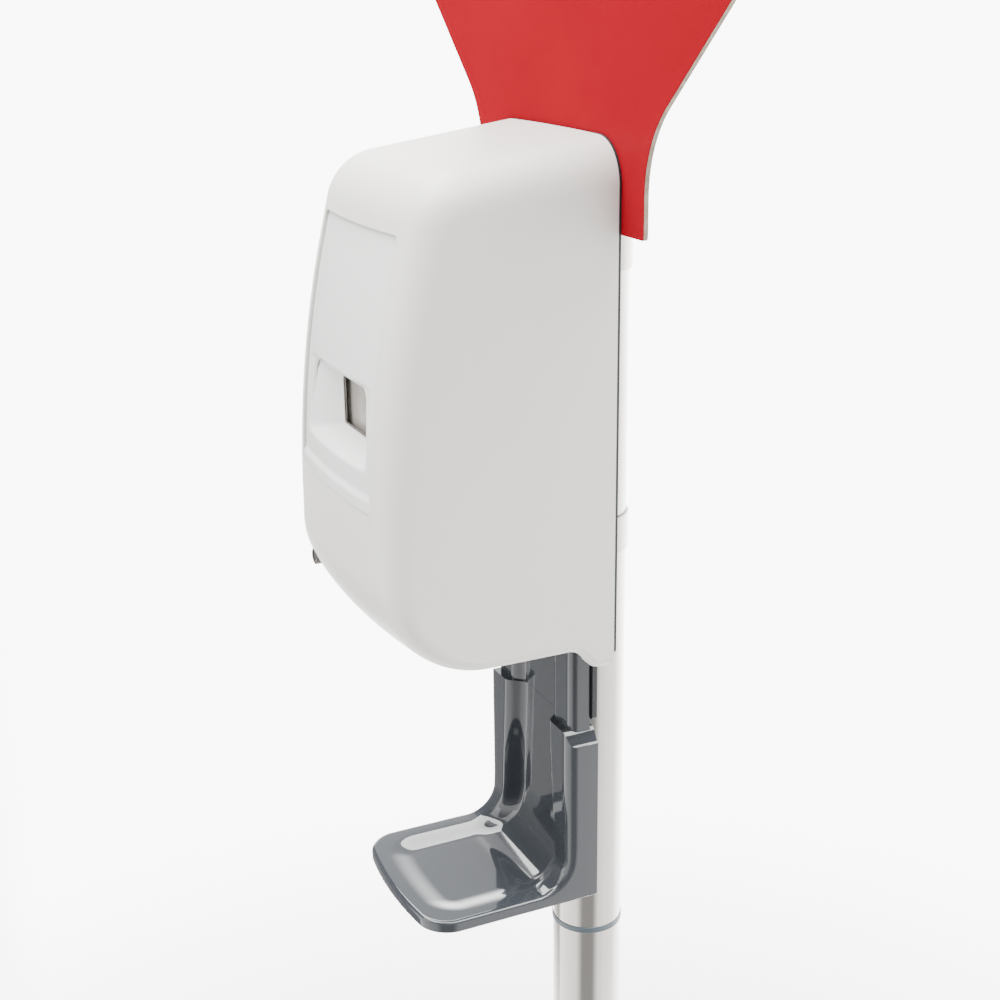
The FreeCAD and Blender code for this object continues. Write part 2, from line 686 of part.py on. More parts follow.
def make_screws():
    seat = "-(dim.pole_diameter / 2 + dim.plate_gap + dim.plate_thickness + dim.chassis_wall)"
    clamp_level = "dim.joint_height + dim.clamp_bottom + dim.clamp_width / 2"
    grip = "dim.plate_thickness + dim.chassis_wall + dim.clamp_thickness"
    nut_thickness = "dim.screw_diameter * 0.8"
    screws = []
    nuts = []
    for side in ("-", ""):
        tag = "l" if side else "r"
        x = side + "dim.clamp_screw_spacing / 2"
        screws.append(screw("clamp_screw_" + tag, x, clamp_level, seat, grip + " + " + nut_thickness + " + 1.5"))
        rear = "-(dim.pole_diameter / 2 + dim.plate_gap - dim.clamp_thickness)"
        nut = prism("nut_hex_" + tag, 6, "dim.screw_diameter * 1.85", nut_thickness, (x, rear, clamp_level), "Y")
        bore = cylinder("nut_bore_" + tag, "dim.screw_diameter + 2 * dim.tube_fit", nut_thickness,
                        (x, rear, clamp_level), "Y")
        nuts.append(cut("clamp_nut_" + tag, nut, bore))
    node("clamp_screws", group("clamp_screw_pair", *screws))
    node("clamp_nuts", group("clamp_nut_pair", *nuts))
    level = up("sign_screw_height")
    screws = []
    for side in ("-", ""):
        tag = "l" if side else "r"
        x = side + "dim.sign_screw_spacing / 2"
        length = "dim.plate_thickness + dim.chassis_wall + dim.pole_diameter / 4"
        screws.append(screw("sign_screw_" + tag, x, level, seat, length))
    node("sign_screws", group("sign_screw_pair", *screws))


def cover_corners(inset, rear, mouth):
    """Side view of the cover, moved inwards by an inset; the mouth opens it underneath."""
    lean = math.radians(d.cover_lean)
    slope = math.radians(d.cover_slope)
    front = -d.cover_front + inset
    bottom = d.cover_bottom + inset
    lean_y = -d.cover_front + inset * math.cos(lean)
    lean_z = d.cover_lean_height - inset * math.sin(lean)
    top_y = -d.cover_rear + inset * math.sin(slope)
    top_z = d.cover_top - inset * math.cos(slope)
    bend_z = lean_z + (front - lean_y) / math.tan(lean)
    rise = (lean_y - lean_z * math.tan(lean) - top_y) * math.tan(slope)
    brow_z = (top_z + rise) / (1 - math.tan(lean) * math.tan(slope))
    brow_y = lean_y + (brow_z - lean_z) * math.tan(lean)
    rear_z = top_z + (rear - top_y) * math.tan(slope)
    corners = [
        (rear, rear_z, 0),
        (brow_y, brow_z, d.cover_brow_round - inset),
        (front, bend_z, d.cover_face_round - inset),
        (front, bottom, d.cover_belly_round - inset),
    ]
    if mouth:
        below = d.lobe_bottom - 10
        return corners + [(-d.cover_mouth, bottom, 0), (-d.cover_mouth, below, 0), (rear, below, 0)]
    if inset:
        return corners + [(rear, bottom, 0)]
    lobe_front = -d.cover_rear - d.lobe_depth
    return corners + [
        (lobe_front, bottom, d.lobe_hollow_round),
        (lobe_front + d.lobe_slant, d.lobe_bottom, d.lobe_round),
        (rear, d.lobe_bottom, 0),
    ]


def side_round(point, inset):
    """Direction of a point from the middle of the cover's side, and the round of the side edge there."""
    middle_y = -(d.cover_front + d.cover_rear) / 2
    middle_z = d.joint_height + d.cover_lean_height
    angle = math.degrees(math.atan2(point.z - middle_z, point.y - middle_y)) % 360
    for (low, start), (high, end) in zip(SIDE_ROUNDS, SIDE_ROUNDS[1:]):
        if angle <= high:
            break
    part_way = min(max((angle - low) / (high - low), 0), 1)
    return angle, max(start + (end - start) * part_way - inset, 1)


def soften_sides(name, base, inset, bottom):
    """Round the side edges from the rear top over the brow and down the front, changing on the way."""
    doc.recompute()
    half = d.cover_width / 2 - inset
    rounds = []
    for side in (-1, 1):
        rising = None
        for number, edge in enumerate(base.Shape.Edges, 1):
            bound = edge.BoundBox
            in_side = bound.XLength < 1e-3 and abs(bound.XMin - side * half) < 1e-3
            upright = bound.YLength < 1e-3 and bound.YMax > -d.cover_mouth - 1
            if not in_side or upright or bound.ZMin < d.joint_height + bottom - 0.1:
                continue
            (first, start), (last, end) = (side_round(edge.Vertexes[k].Point, inset) for k in (0, -1))
            if rising is None:
                rising = last > first
            if (last > first) != rising:
                start, end = end, start
            rounds.append((number, start, end))
    item = doc.addObject("Part::Fillet", name)
    item.Base = base
    item.Edges = rounds
    return item


def cover_block(name, inset, mouth=False, rounded=True):
    """The cover's outer form, or the same form moved inwards."""
    rear = 0 if mouth or inset else -5
    corners = cover_corners(inset, rear, mouth)
    sketch = free_sketch(name + "_side", corners, SIDE_VIEW, ("", "", "dim.joint_height"))
    turned = doc.addObject("Part::Revolution", name + "_bowed")
    turned.Source = sketch
    turned.Axis = Vector(0, 0, 1)
    turned.setExpression("Base.y", "dim.cover_bow_round - dim.cover_front")
    turned.setExpression("Angle", "2 * asin(dim.cover_width / (dim.cover_bow_round - dim.cover_front))")
    turned.Symmetric = True
    turned.Solid = True
    rear_plane = "0" if rear == 0 else "-dim.cover_rear"
    slab = box(name + "_slab", ("dim.cover_width - 2 * %g" % inset, "2 * dim.cover_front", "2 * dim.cover_top"),
               ("-dim.cover_width / 2 + %g" % inset, "%s - 2 * dim.cover_front" % rear_plane, "dim.joint_height"))
    trimmed = common(name + "_trimmed", turned, slab)
    if not rounded:
        return trimmed
    lowest = d.cover_bottom + inset if mouth else d.lobe_bottom
    return soften_sides(name + "_rounded", trimmed, inset, lowest)


def front_block(name, width, bottom, top, corner, rear, front):
    """Rounded rectangle in front view, from one depth to another."""
    sketch = free_sketch(name + "_outline", rectangle(-width / 2, bottom, width / 2, top, corner), TURN["-Y"],
                         ("", "-dim.%s" % rear if rear else "", "dim.joint_height"))
    item = doc.addObject("Part::Extrusion", name)
    item.Base = sketch
    item.DirMode = "Custom"
    item.Dir = Vector(0, -1, 0)
    item.LengthFwd = front - (getattr(d, rear) if rear else 0)
    item.Solid = True
    return item


def funnel(name, grow):
    """Sloping walls from the scoop's mouth in the front to its floor."""
    sketches = []
    mouth = d.cover_front + 4
    spread = (mouth - d.scoop_floor) / (d.cover_front - 4 - d.scoop_floor)
    wide = (d.scoop_width - d.window_width) / 2 * spread
    low = (d.window_bottom - d.scoop_bottom) * spread
    high = (d.scoop_top - d.window_top) * spread
    for tag, setback, side, down, rise, corner in (
        ("floor", d.scoop_floor, 0, 0, 0, d.window_corner),
        ("mouth", mouth, wide, low, high, d.scoop_corner),
    ):
        half = d.window_width / 2 + side + grow
        corners = rectangle(-half, d.window_bottom - down - grow, half, d.window_top + rise + grow, corner + grow)
        sketch = free_sketch(name + "_" + tag, corners, TURN["-Y"], ("", "", "dim.joint_height"))
        sketch.Placement.Base.y = -setback
        sketches.append(sketch)
    item = doc.addObject("Part::Loft", name)
    item.Sections = sketches
    item.Solid = True
    item.Ruled = True
    return item


def make_cover():
    outer = cover_block("cover_outer", 0)
    inner = cover_block("cover_inner", d.cover_wall, mouth=True)

    axis = ("-dim.hinge_setback", up("lobe_bottom") + " + dim.hinge_rise")
    inside = "dim.cover_width / 2 - dim.cover_wall"
    bosses = []
    holes = []
    for side in (-1, 1):
        tag = "l" if side < 0 else "r"
        boss_start = "%s - dim.hinge_boss_length" % inside
        hole_start = "%s - dim.hinge_boss_length - 1" % inside
        length = "dim.hinge_boss_length + 1"
        if side < 0:
            boss_at = "-(%s) - 1" % inside
            hole_at = "-(%s) - 1" % inside
        else:
            boss_at = boss_start
            hole_at = hole_start
        bosses.append(cylinder("hinge_boss_" + tag, "dim.hinge_boss_diameter", length, (boss_at,) + axis, "X"))
        holes.append(cylinder("hinge_hole_" + tag, "dim.hinge_pin_diameter + 2 * dim.running_fit",
                              length + " + 1", (hole_at,) + axis, "X"))

    corner = d.lobe_rear_round
    relief = free_sketch("lobe_relief_side", [
        (-d.cover_rear + 1, d.lobe_bottom - 1, 0),
        (-d.cover_rear + 1, d.lobe_bottom + corner, 0),
        (-d.cover_rear, d.lobe_bottom + corner, 0),
        (-d.cover_rear, d.lobe_bottom, corner - 0.01),
        (-d.cover_rear - corner, d.lobe_bottom, 0),
        (-d.cover_rear - corner, d.lobe_bottom - 1, 0),
    ], SIDE_VIEW, ("", "", "dim.joint_height"))
    lobe_relief = doc.addObject("Part::Extrusion", "lobe_relief")
    lobe_relief.Base = relief
    lobe_relief.DirMode = "Custom"
    lobe_relief.Dir = Vector(1, 0, 0)
    lobe_relief.Symmetric = True
    lobe_relief.setExpression("LengthFwd", "2 * dim.cover_width")
    lobe_relief.Solid = True
    shell = cut("cover_hollow", outer, inner, lobe_relief)

    lock_at = ("-dim.lock_side", "-dim.lock_boss_end", up("lock_height"))
    lock_boss = cylinder("lock_boss", "dim.lock_boss_diameter", "dim.lock_face - dim.lock_boss_end", lock_at, "-Y")
    lock_bore = cylinder("lock_bore", "dim.lock_diameter + 2 * dim.running_fit", "dim.cover_front", lock_at, "-Y")
    sink_at = ("-dim.lock_side", "-dim.lock_face", up("lock_height"))
    lock_sink = cylinder("lock_sink", "dim.lock_sink_diameter", "dim.cover_front", sink_at, "-Y")
    lock_boss = common("lock_boss_inside", lock_boss, cover_block("lock_boss_limit", 1.5, rounded=False))

    solid = fuse("cover_solid", shell, *bosses, lock_boss)

    sunk = cover_block("inlay_seat_limit", d.panel_sunk + d.panel_thickness, rounded=False)
    recess = front_block("inlay_recess_block", d.panel_width, d.panel_bottom, d.panel_top, d.panel_corner,
                         "", d.cover_front + 10)
    recess_front = box("inlay_recess_front", ("2 * dim.cover_width", "dim.cover_front", "dim.cover_top"),
                       ("-dim.cover_width", "-dim.cover_front * 1.6", "dim.joint_height"))
    recess = cut("inlay_recess", common("inlay_recess_tool", recess, recess_front), sunk)

    scoop_hole = funnel("scoop_hole", d.panel_thickness + d.seat_gap / 2)
    node("cover", cut("cover_cut", solid, *holes, lock_bore, lock_sink, recess, scoop_hole))

    face = cover_block("inlay_face", d.panel_sunk, rounded=False)
    sheet_solid = cut("inlay_sheet", face, sunk)
    gap = d.seat_gap / 2
    window = front_block("inlay_window", d.panel_width - 2 * gap, d.panel_bottom + gap, d.panel_top - gap,
                         d.panel_corner - gap, "", d.cover_front + 10)
    window_front = common("inlay_window_front", window, recess_front)
    skin = common("inlay_skin", sheet_solid, window_front)
    rim = common("scoop_wall", funnel("scoop_outside", d.panel_thickness), cover_block("inlay_face_limit", d.panel_sunk, rounded=False))
    backing = front_block("scoop_backing", d.window_width + 2 * d.window_lap, d.window_bottom - d.window_lap,
                          d.window_top + d.window_lap, d.window_corner + 1, "scoop_back", d.scoop_floor)
    moulding = fuse("inlay_solid", skin, rim, backing)
    opening = front_block("window_opening", d.window_width - 4, d.window_bottom + 2, d.window_top - 2,
                          d.window_corner, "", d.cover_front)
    node("front_panel", cut("front_panel_cut", moulding, funnel("scoop_inside", 0), opening))

    glass = body("window_body")
    lap = d.window_lap - 0.5
    sketch = sketch_on(glass, "XZ_Plane", "window_outline",
                       rectangle(-d.window_width / 2 - lap, d.window_bottom - lap, d.window_width / 2 + lap,
                                 d.window_top + lap, d.window_corner), "dim.scoop_back")
    pad(glass, "window_plate", sketch, "dim.window_thickness", reverse=True)
    node("sight_window", glass)

    pins = []
    for side in (-1, 1):
        length = "dim.hinge_pin_length"
        start = "%s - dim.hinge_pin_length + 0.4" % inside
        at = "-(%s) - 0.4" % inside if side < 0 else start
        pins.append(cylinder("hinge_pin_" + ("l" if side < 0 else "r"), "dim.hinge_pin_diameter", length,
                             (at,) + axis, "X"))
    node("hinge_pins", group("hinge_pin_pair", *pins))

    barrel = cylinder("lock_round", "dim.lock_diameter", "dim.lock_face - dim.lock_cam_face",
                      ("-dim.lock_side", "-dim.lock_cam_face", up("lock_height")), "-Y")
    slot = box("lock_slot", ("1.4", "2", "4.6"),
               ("-dim.lock_side - 0.7", "-dim.lock_face - 0.8", up("lock_height") + " - 2.3"))
    node("lock_barrel", cut("lock_barrel_cut", barrel, slot))

    cam = body("cam_body")
    width = d.lock_diameter - 1
    corners = [
        (-d.lock_side - width / 2, d.lock_height - d.lock_cam_reach, 1.5),
        (-d.lock_side + width / 2, d.lock_height - d.lock_cam_reach, 1.5),
        (-d.lock_side + width / 2, d.lock_height + width / 2, 2.5),
        (-d.lock_side - width / 2, d.lock_height + width / 2, 2.5),
    ]
    sketch = sketch_on(cam, "XZ_Plane", "cam_outline", corners, "dim.lock_cam_face - dim.lock_cam_thickness")
    pad(cam, "cam_plate", sketch, "dim.lock_cam_thickness")
    node("lock_cam", cam)


def make_chassis():
    """Inner frame on the back plate: rear wall, drive housing, hinge ears and lock keeper."""
    chassis = body("chassis_body")
    back = d.pole_diameter / 2 + d.plate_gap + d.plate_thickness
    back_text = "dim.pole_diameter / 2 + dim.plate_gap + dim.plate_thickness"
    half = d.housing_width / 2
    wall = d.chassis_wall
    wall_outline = rectangle(-half, d.housing_floor, half, d.chassis_top, 10)
    wall_outline[0] = (-half, d.housing_floor, 0)
    wall_outline[1] = (half, d.housing_floor, 0)
    sketch = sketch_on(chassis, "XZ_Plane", "rear_wall_outline", wall_outline, back_text)
    pad(chassis, "rear_wall", sketch, "dim.chassis_wall")
    floor_outline = rectangle(-half, -d.housing_front, half, -back)
    floor_outline[0] = (-half, -d.housing_front, 8)
    floor_outline[1] = (half, -d.housing_front, 8)
    sketch = sketch_on(chassis, "XY_Plane", "housing_outline", floor_outline, "dim.housing_floor")
    block = pad(chassis, "housing_block", sketch, "dim.housing_rim - dim.housing_floor")

    def lower_rim(edge):
        bound = edge.BoundBox
        return bound.ZMax < d.housing_floor + 0.01 and bound.YMin < -d.housing_front + 9

    round_edges(chassis, "housing_soft", block, "dim.chassis_wall + 1.5", lower_rim)
    inner = rectangle(-half + wall, -d.housing_front + wall, half - wall, -back - wall)
    inner[0] = (inner[0][0], inner[0][1], 8 - wall)
    inner[1] = (inner[1][0], inner[1][1], 8 - wall)
    sketch = sketch_on(chassis, "XY_Plane", "housing_hollow_outline", inner, "dim.housing_rim")
    pocket(chassis, "housing_hollow", sketch, "dim.housing_rim - dim.housing_floor - dim.chassis_wall")

    for side in (-1, 1):
        tag = "l" if side < 0 else "r"
        y = -d.hinge_setback
        r = d.hinge_boss_diameter / 2 - 0.5
        ear = [
            (y - r, d.lobe_bottom + d.hinge_rise - r, r - 0.1),
            (y + r, d.lobe_bottom + d.hinge_rise - r, r - 0.1),
            (y + r, d.housing_floor + wall, 0),
            (y - r, d.housing_floor + wall, 0),
        ]
        place_x = "%d * (dim.housing_width / 2 - dim.ear_thickness / 2)" % side
        sketch = sketch_on(chassis, "YZ_Plane", "ear_outline_" + tag, ear, place_x)
        pad(chassis, "hinge_ear_" + tag, sketch, "dim.ear_thickness", middle=True)
    sketch = sketch_on(chassis, "YZ_Plane", "ear_bore_outline")
    circle(sketch, "dim.hinge_pin_diameter + 2 * dim.tube_fit", "-dim.hinge_setback", "dim.lobe_bottom + dim.hinge_rise")
    pocket(chassis, "ear_bores", sketch, "2 * dim.cover_width", middle=True)

    sketch = sketch_on(chassis, "XY_Plane", "floor_openings", offset="dim.housing_floor + dim.chassis_wall")
    circle(sketch, "dim.nozzle_opening", "0", "-dim.nozzle_setback")
    circle(sketch, "dim.lens_diameter + 2 * dim.running_fit", "dim.lens_side", "-dim.lens_setback")
    pocket(chassis, "floor_holes", sketch, "2 * dim.chassis_wall")
    sketch = sketch_on(chassis, "XZ_Plane", "wall_screw_holes")
    for x in ("-1", "1"):
        hole = "dim.screw_diameter + 0.6"
        circle(sketch, hole, x + " * dim.sign_screw_spacing / 2", "dim.sign_screw_height")
        circle(sketch, hole, x + " * dim.clamp_screw_spacing / 2", "dim.clamp_bottom + dim.clamp_width / 2")
    pocket(chassis, "wall_holes", sketch, "dim.hinge_setback + 10", reverse=True)

    x0 = -d.lock_side + d.lock_cam_reach + 1.2
    z0 = d.lock_height - 5
    sketch = sketch_on(chassis, "XZ_Plane", "keeper_arm_outline", rectangle(x0, z0, x0 + 3, z0 + 10), "dim.housing_front - 1")
    pad(chassis, "keeper_arm", sketch, "dim.lock_cam_face + dim.keeper_lip + dim.seat_gap - dim.housing_front + 1")
    sketch = sketch_on(chassis, "XZ_Plane", "keeper_lip_outline", rectangle(x0 - 5, z0, x0 + 3, z0 + 10),
                       "dim.lock_cam_face + dim.seat_gap")
    pad(chassis, "keeper_hook", sketch, "dim.keeper_lip")
    node("chassis", chassis)

    lid = body("housing_lid_body")
    sketch = sketch_on(lid, "XY_Plane", "housing_lid_outline", floor_lid_outline(), "dim.housing_rim")
    circle(sketch, "dim.neck_diameter + 2", "0", "-dim.nozzle_setback")
    pad(lid, "lid_plate", sketch, "dim.lid_thickness")
    node("drive_cover", lid)


def floor_lid_outline():
    back = d.pole_diameter / 2 + d.plate_gap + d.plate_thickness + d.chassis_wall + d.seat_gap
    half = d.housing_width / 2
    corners = rectangle(-half, -d.housing_front, half, -back)
    corners[0] = (-half, -d.housing_front, 8)
    corners[1] = (half, -d.housing_front, 8)
    return corners


def toothed(owner, name, teeth, width, bore, phase):
    """Spur gear in its own plane: root disc and one tooth, patterned round the axis."""
    pitch = d.gear_module * teeth / 2
    root = pitch - 1.25 * d.gear_module
    tip = pitch + d.gear_addendum * d.gear_module
    half_pitch = math.pi * d.gear_module / 4 - d.gear_backlash / 2
    slant = math.tan(math.radians(20))
    half_root = half_pitch
    half_tip = half_pitch - d.gear_addendum * d.gear_module * slant
    disc = sketch_on(owner, "XY_Plane", name + "_disc_outline")
    circle(disc, "%g" % (2 * root))
    circle(disc, bore)
    pad(owner, name + "_disc", disc, width, middle=True)
    low = root - 0.4
    corners = [
        (math.sqrt(tip ** 2 - half_tip ** 2), -half_tip),
        (math.sqrt(tip ** 2 - half_tip ** 2), half_tip),
        (root, half_root),
        (low, half_root),
        (low, -half_root),
        (root, -half_root),
    ]
    turned = []
    for x, y in corners:
        turned.append((x * math.cos(phase) - y * math.sin(phase), x * math.sin(phase) + y * math.cos(phase), 0))
    tooth = pad(owner, name + "_tooth", sketch_on(owner, "XY_Plane", name + "_tooth_outline", turned), width, middle=True)
    pattern = owner.newObject("PartDesign::PolarPattern", name + "_teeth")
    pattern.Originals = [tooth]
    pattern.Axis = (disc, ["N_Axis"])
    pattern.Angle = 360
    pattern.Occurrences = int(teeth)
    owner.Tip = pattern
    return pattern


def make_drive():
    """Motor, gears and the rack that lifts the pump's nozzle."""
    turn_x = TURN["X"]
    gear = doc.addObject("PartDesign::Body", "gear_body")
    gear.Placement = Placement(Vector(0, 0, 0), turn_x)
    bind_place(gear, ("0", "-dim.gear_setback", up("gear_height")))
    toothed(gear, "gear", d.gear_teeth, "dim.gear_width", "dim.axle_diameter + 2 * dim.running_fit", phase=-math.pi / 2)
    node("drive_gear", gear)

    pinion_height = "dim.joint_height + dim.gear_height + dim.gear_module * (dim.gear_teeth + dim.pinion_teeth) / 2"
    pinion = doc.addObject("PartDesign::Body", "pinion_body")
    pinion.Placement = Placement(Vector(0, 0, 0), turn_x)
    bind_place(pinion, ("0", "-dim.gear_setback", pinion_height))
    toothed(pinion, "pinion", d.pinion_teeth, "dim.gear_width", "dim.shaft_diameter", phase=0)
    shaft = sketch_on(pinion, "XY_Plane", "shaft_outline")
    circle(shaft, "dim.shaft_diameter")
    pad(pinion, "shaft", shaft, "dim.bracket_width + 4", middle=True)
    node("motor_pinion", pinion)

    axle = cylinder("axle_round", "dim.axle_diameter", "dim.bracket_width + 3",
                    ("-dim.bracket_width / 2 - 1.5", "-dim.gear_setback", up("gear_height")), "X")
    node("gear_axle", axle)

    bracket = body("bracket_body")
    back = d.pole_diameter / 2 + d.plate_gap + d.plate_thickness + d.chassis_wall
    low = d.housing_floor + d.chassis_wall
    cheek = rectangle(-d.gear_setback - 11, low, -back, d.housing_rim - 2)
    cheek[0] = (-d.gear_setback - 8, low, 0)
    cheek[3] = (-d.gear_setback - 8, d.housing_rim - 2, 4)
    for side in (-1, 1):
        tag = "l" if side < 0 else "r"
        place_x = "%d * (dim.bracket_width / 2 - dim.bracket_sheet / 2)" % side
        pad(bracket, "cheek_" + tag, sketch_on(bracket, "YZ_Plane", "cheek_outline_" + tag, cheek, place_x),
            "dim.bracket_sheet", middle=True)
        if side < 0:
            web = rectangle(-back - d.bracket_sheet, low, -back, d.housing_rim - 2)
            pad(bracket, "web", sketch_on(bracket, "YZ_Plane", "web_outline", web), "dim.bracket_width", middle=True)
    sketch = sketch_on(bracket, "YZ_Plane", "bracket_bores")
    circle(sketch, "dim.axle_diameter + 2 * dim.tube_fit", "-dim.gear_setback", "dim.gear_height")
    circle(sketch, "dim.shaft_diameter + 1", "-dim.gear_setback",
           "dim.gear_height + dim.gear_module * (dim.gear_teeth + dim.pinion_teeth) / 2")
    pocket(bracket, "bracket_holes", sketch, "2 * dim.bracket_width", middle=True)
    node("gear_bracket", bracket)

    motor = cylinder("motor_can", "dim.motor_diameter", "dim.motor_length",
                     ("dim.bracket_width / 2", "-dim.gear_setback", pinion_height), "X")
    motor = cut("motor_cut", motor, cylinder("motor_bore", "dim.shaft_diameter + 1", "3",
                ("dim.bracket_width / 2", "-dim.gear_setback", pinion_height), "X"))
    node("motor", round_part("motor_soft", motor, 1.5, lambda edge: edge.BoundBox.XLength < 1e-3
                             and edge.BoundBox.YLength > d.motor_diameter - 1))

    pitch_line = d.gear_setback + d.gear_module * d.gear_teeth / 2
    lift = body("pusher_body")
    half_pitch = math.pi * d.gear_module / 4 - d.gear_backlash / 2
    slant = math.tan(math.radians(20))
    step = math.pi * d.gear_module
    root = -pitch_line - 1.25 * d.gear_module
    tip = -pitch_line + d.gear_addendum * d.gear_module
    bar = rectangle(root - 3, d.rack_bottom, root, d.rack_top)
    pad(lift, "rack_bar", sketch_on(lift, "YZ_Plane", "rack_bar_outline", bar), "dim.gear_width", middle=True)
    first = math.ceil((d.rack_bottom + 1.5 - d.gear_height) / step - 0.5)
    last = math.floor((d.rack_top - 1.5 - d.gear_height) / step - 0.5)
    low = d.gear_height + (first + 0.5) * step
    tooth_outline = [
        (root - 0.5, low - half_pitch - 1.25 * d.gear_module * slant, 0),
        (root, low - half_pitch - 1.25 * d.gear_module * slant, 0),
        (tip, low - half_pitch + d.gear_addendum * d.gear_module * slant, 0),
        (tip, low + half_pitch - d.gear_addendum * d.gear_module * slant, 0),
        (root, low + half_pitch + 1.25 * d.gear_module * slant, 0),
        (root - 0.5, low + half_pitch + 1.25 * d.gear_module * slant, 0),
    ]
    sketch = sketch_on(lift, "YZ_Plane", "rack_tooth_outline", tooth_outline)
    tooth = pad(lift, "rack_tooth", sketch, "dim.gear_width", middle=True)
    pattern = lift.newObject("PartDesign::LinearPattern", "rack_teeth")
    pattern.Originals = [tooth]
    pattern.Direction = (sketch, ["V_Axis"])
    pattern.Length = (last - first) * step
    pattern.Occurrences = int(last - first + 1)
    lift.Tip = pattern
    half = d.guide_spacing / 2 + 5
    slot = d.nozzle_diameter / 2 + 0.5
    fork = [
        (-half, root + 0.5, 3),
        (-half, root - 9, 3),
        (-slot - 5, -d.nozzle_setback - 9, 3),
        (-slot, -d.nozzle_setback - 9, 1),
        (-slot, -d.nozzle_setback + slot, slot - 0.1),
        (slot, -d.nozzle_setback + slot, slot - 0.1),
        (slot, -d.nozzle_setback - 9, 1),
        (slot + 5, -d.nozzle_setback - 9, 3),
        (half, root - 9, 3),
        (half, root + 0.5, 3),
        (d.gear_width / 2 + 2, root + 0.5, 0),
        (d.gear_width / 2 + 2, root - 1, 0),
        (-d.gear_width / 2 - 2, root - 1, 0),
        (-d.gear_width / 2 - 2, root + 0.5, 0),
    ]
    sketch = sketch_on(lift, "XY_Plane", "fork_outline", fork, "dim.fork_height")
    pad(lift, "fork", sketch, "dim.fork_thickness")
    sketch = sketch_on(lift, "XY_Plane", "guide_holes_outline", offset="dim.fork_height")
    guide_y = "-(dim.gear_setback + dim.gear_module * dim.gear_teeth / 2 + 1.25 * dim.gear_module + 4)"
    for x in ("-1", "1"):
        circle(sketch, "dim.guide_diameter + 2 * dim.running_fit", x + " * dim.guide_spacing / 2", guide_y)
    pocket(lift, "guide_holes", sketch, "2 * dim.fork_thickness", middle=True)
    node("pump_pusher", lift)

    rods = []
    for side in ("-", ""):
        at = (side + "dim.guide_spacing / 2", guide_y, up("housing_floor") + " + dim.chassis_wall")
        rods.append(cylinder("guide_rod_" + ("l" if side else "r"), "dim.guide_diameter",
                             "dim.housing_rim - dim.housing_floor - dim.chassis_wall", at))
    node("guide_rods", group("guide_rod_pair", *rods))


def bind_place(item, at):
    for axis, expression in zip("xyz", at):
        item.setExpression("Placement.Base." + axis, expression)


def make_refill():
    bottle = body("bottle_body")
    half = d.bottle_width / 2
    outline_top = rectangle(-half, -d.bottle_front, half, -d.bottle_rear, d.bottle_corner)
    sketch = sketch_on(bottle, "XY_Plane", "bottle_outline", outline_top, "dim.bottle_bottom")
    block = pad(bottle, "bottle_block", sketch, "dim.bottle_top - dim.bottle_bottom")
    ends = (d.bottle_bottom, d.bottle_top)
    round_edges(bottle, "bottle_soft", block, "dim.bottle_corner - 3",
                lambda edge: edge.BoundBox.ZLength < 1e-3)
    neck = sketch_on(bottle, "XY_Plane", "neck_outline", offset="dim.housing_rim + dim.lid_thickness + 1.5")
    circle(neck, "dim.neck_diameter - 4", "0", "-dim.nozzle_setback")
    pad(bottle, "neck", neck, "dim.bottle_bottom + 2 - dim.housing_rim - dim.lid_thickness - 1.5")
    node("refill_bottle", bottle)

    pump = body("pump_body_part", "dim.joint_height")
    pump.setExpression("Placement.Base.y", "-dim.nozzle_setback")
    cap = d.neck_diameter / 2
    stem = d.stem_diameter / 2 + d.running_fit
    cap_top = d.bottle_bottom - 0.3
    neck_r = d.neck_diameter / 2 - 2 + 0.1
    cap_floor = d.housing_rim + d.lid_thickness + 1.4
    profile = [
        (stem, d.pump_bottom, 0),
        (d.pump_diameter / 2, d.pump_bottom, 1),
        (d.pump_diameter / 2, d.pump_bottom + 15, 0),
        (cap, d.pump_bottom + 21, 1),
        (cap, cap_top, 0),
        (neck_r, cap_top, 0),
        (neck_r, cap_floor, 0),
        (stem, cap_floor, 0),
    ]
    revolve(pump, "pump_turned", sketch_on(pump, "XZ_Plane", "pump_profile", profile))
    node("pump_cylinder", pump)

    nozzle = body("nozzle_body", "dim.joint_height")
    nozzle.setExpression("Placement.Base.y", "-dim.nozzle_setback")
    seat = d.fork_height + d.fork_thickness
    bore = d.stem_diameter / 2 - 1.8
    profile = [
        (bore, d.nozzle_tip, 0),
        (d.nozzle_diameter / 2 - 2.5, d.nozzle_tip, 1),
        (d.nozzle_diameter / 2, d.nozzle_tip + 8, 0),
        (d.nozzle_diameter / 2, seat, 0),
        (d.nozzle_diameter / 2 + 4, seat, 0.8),
        (d.nozzle_diameter / 2 + 4, seat + 2.5, 0.8),
        (d.stem_diameter / 2, seat + 2.5, 0),
        (d.stem_diameter / 2, seat + 26, 0),
        (bore, seat + 26, 0),
    ]
    revolve(nozzle, "nozzle_turned", sketch_on(nozzle, "XZ_Plane", "nozzle_profile", profile))
    node("pump_nozzle", nozzle)


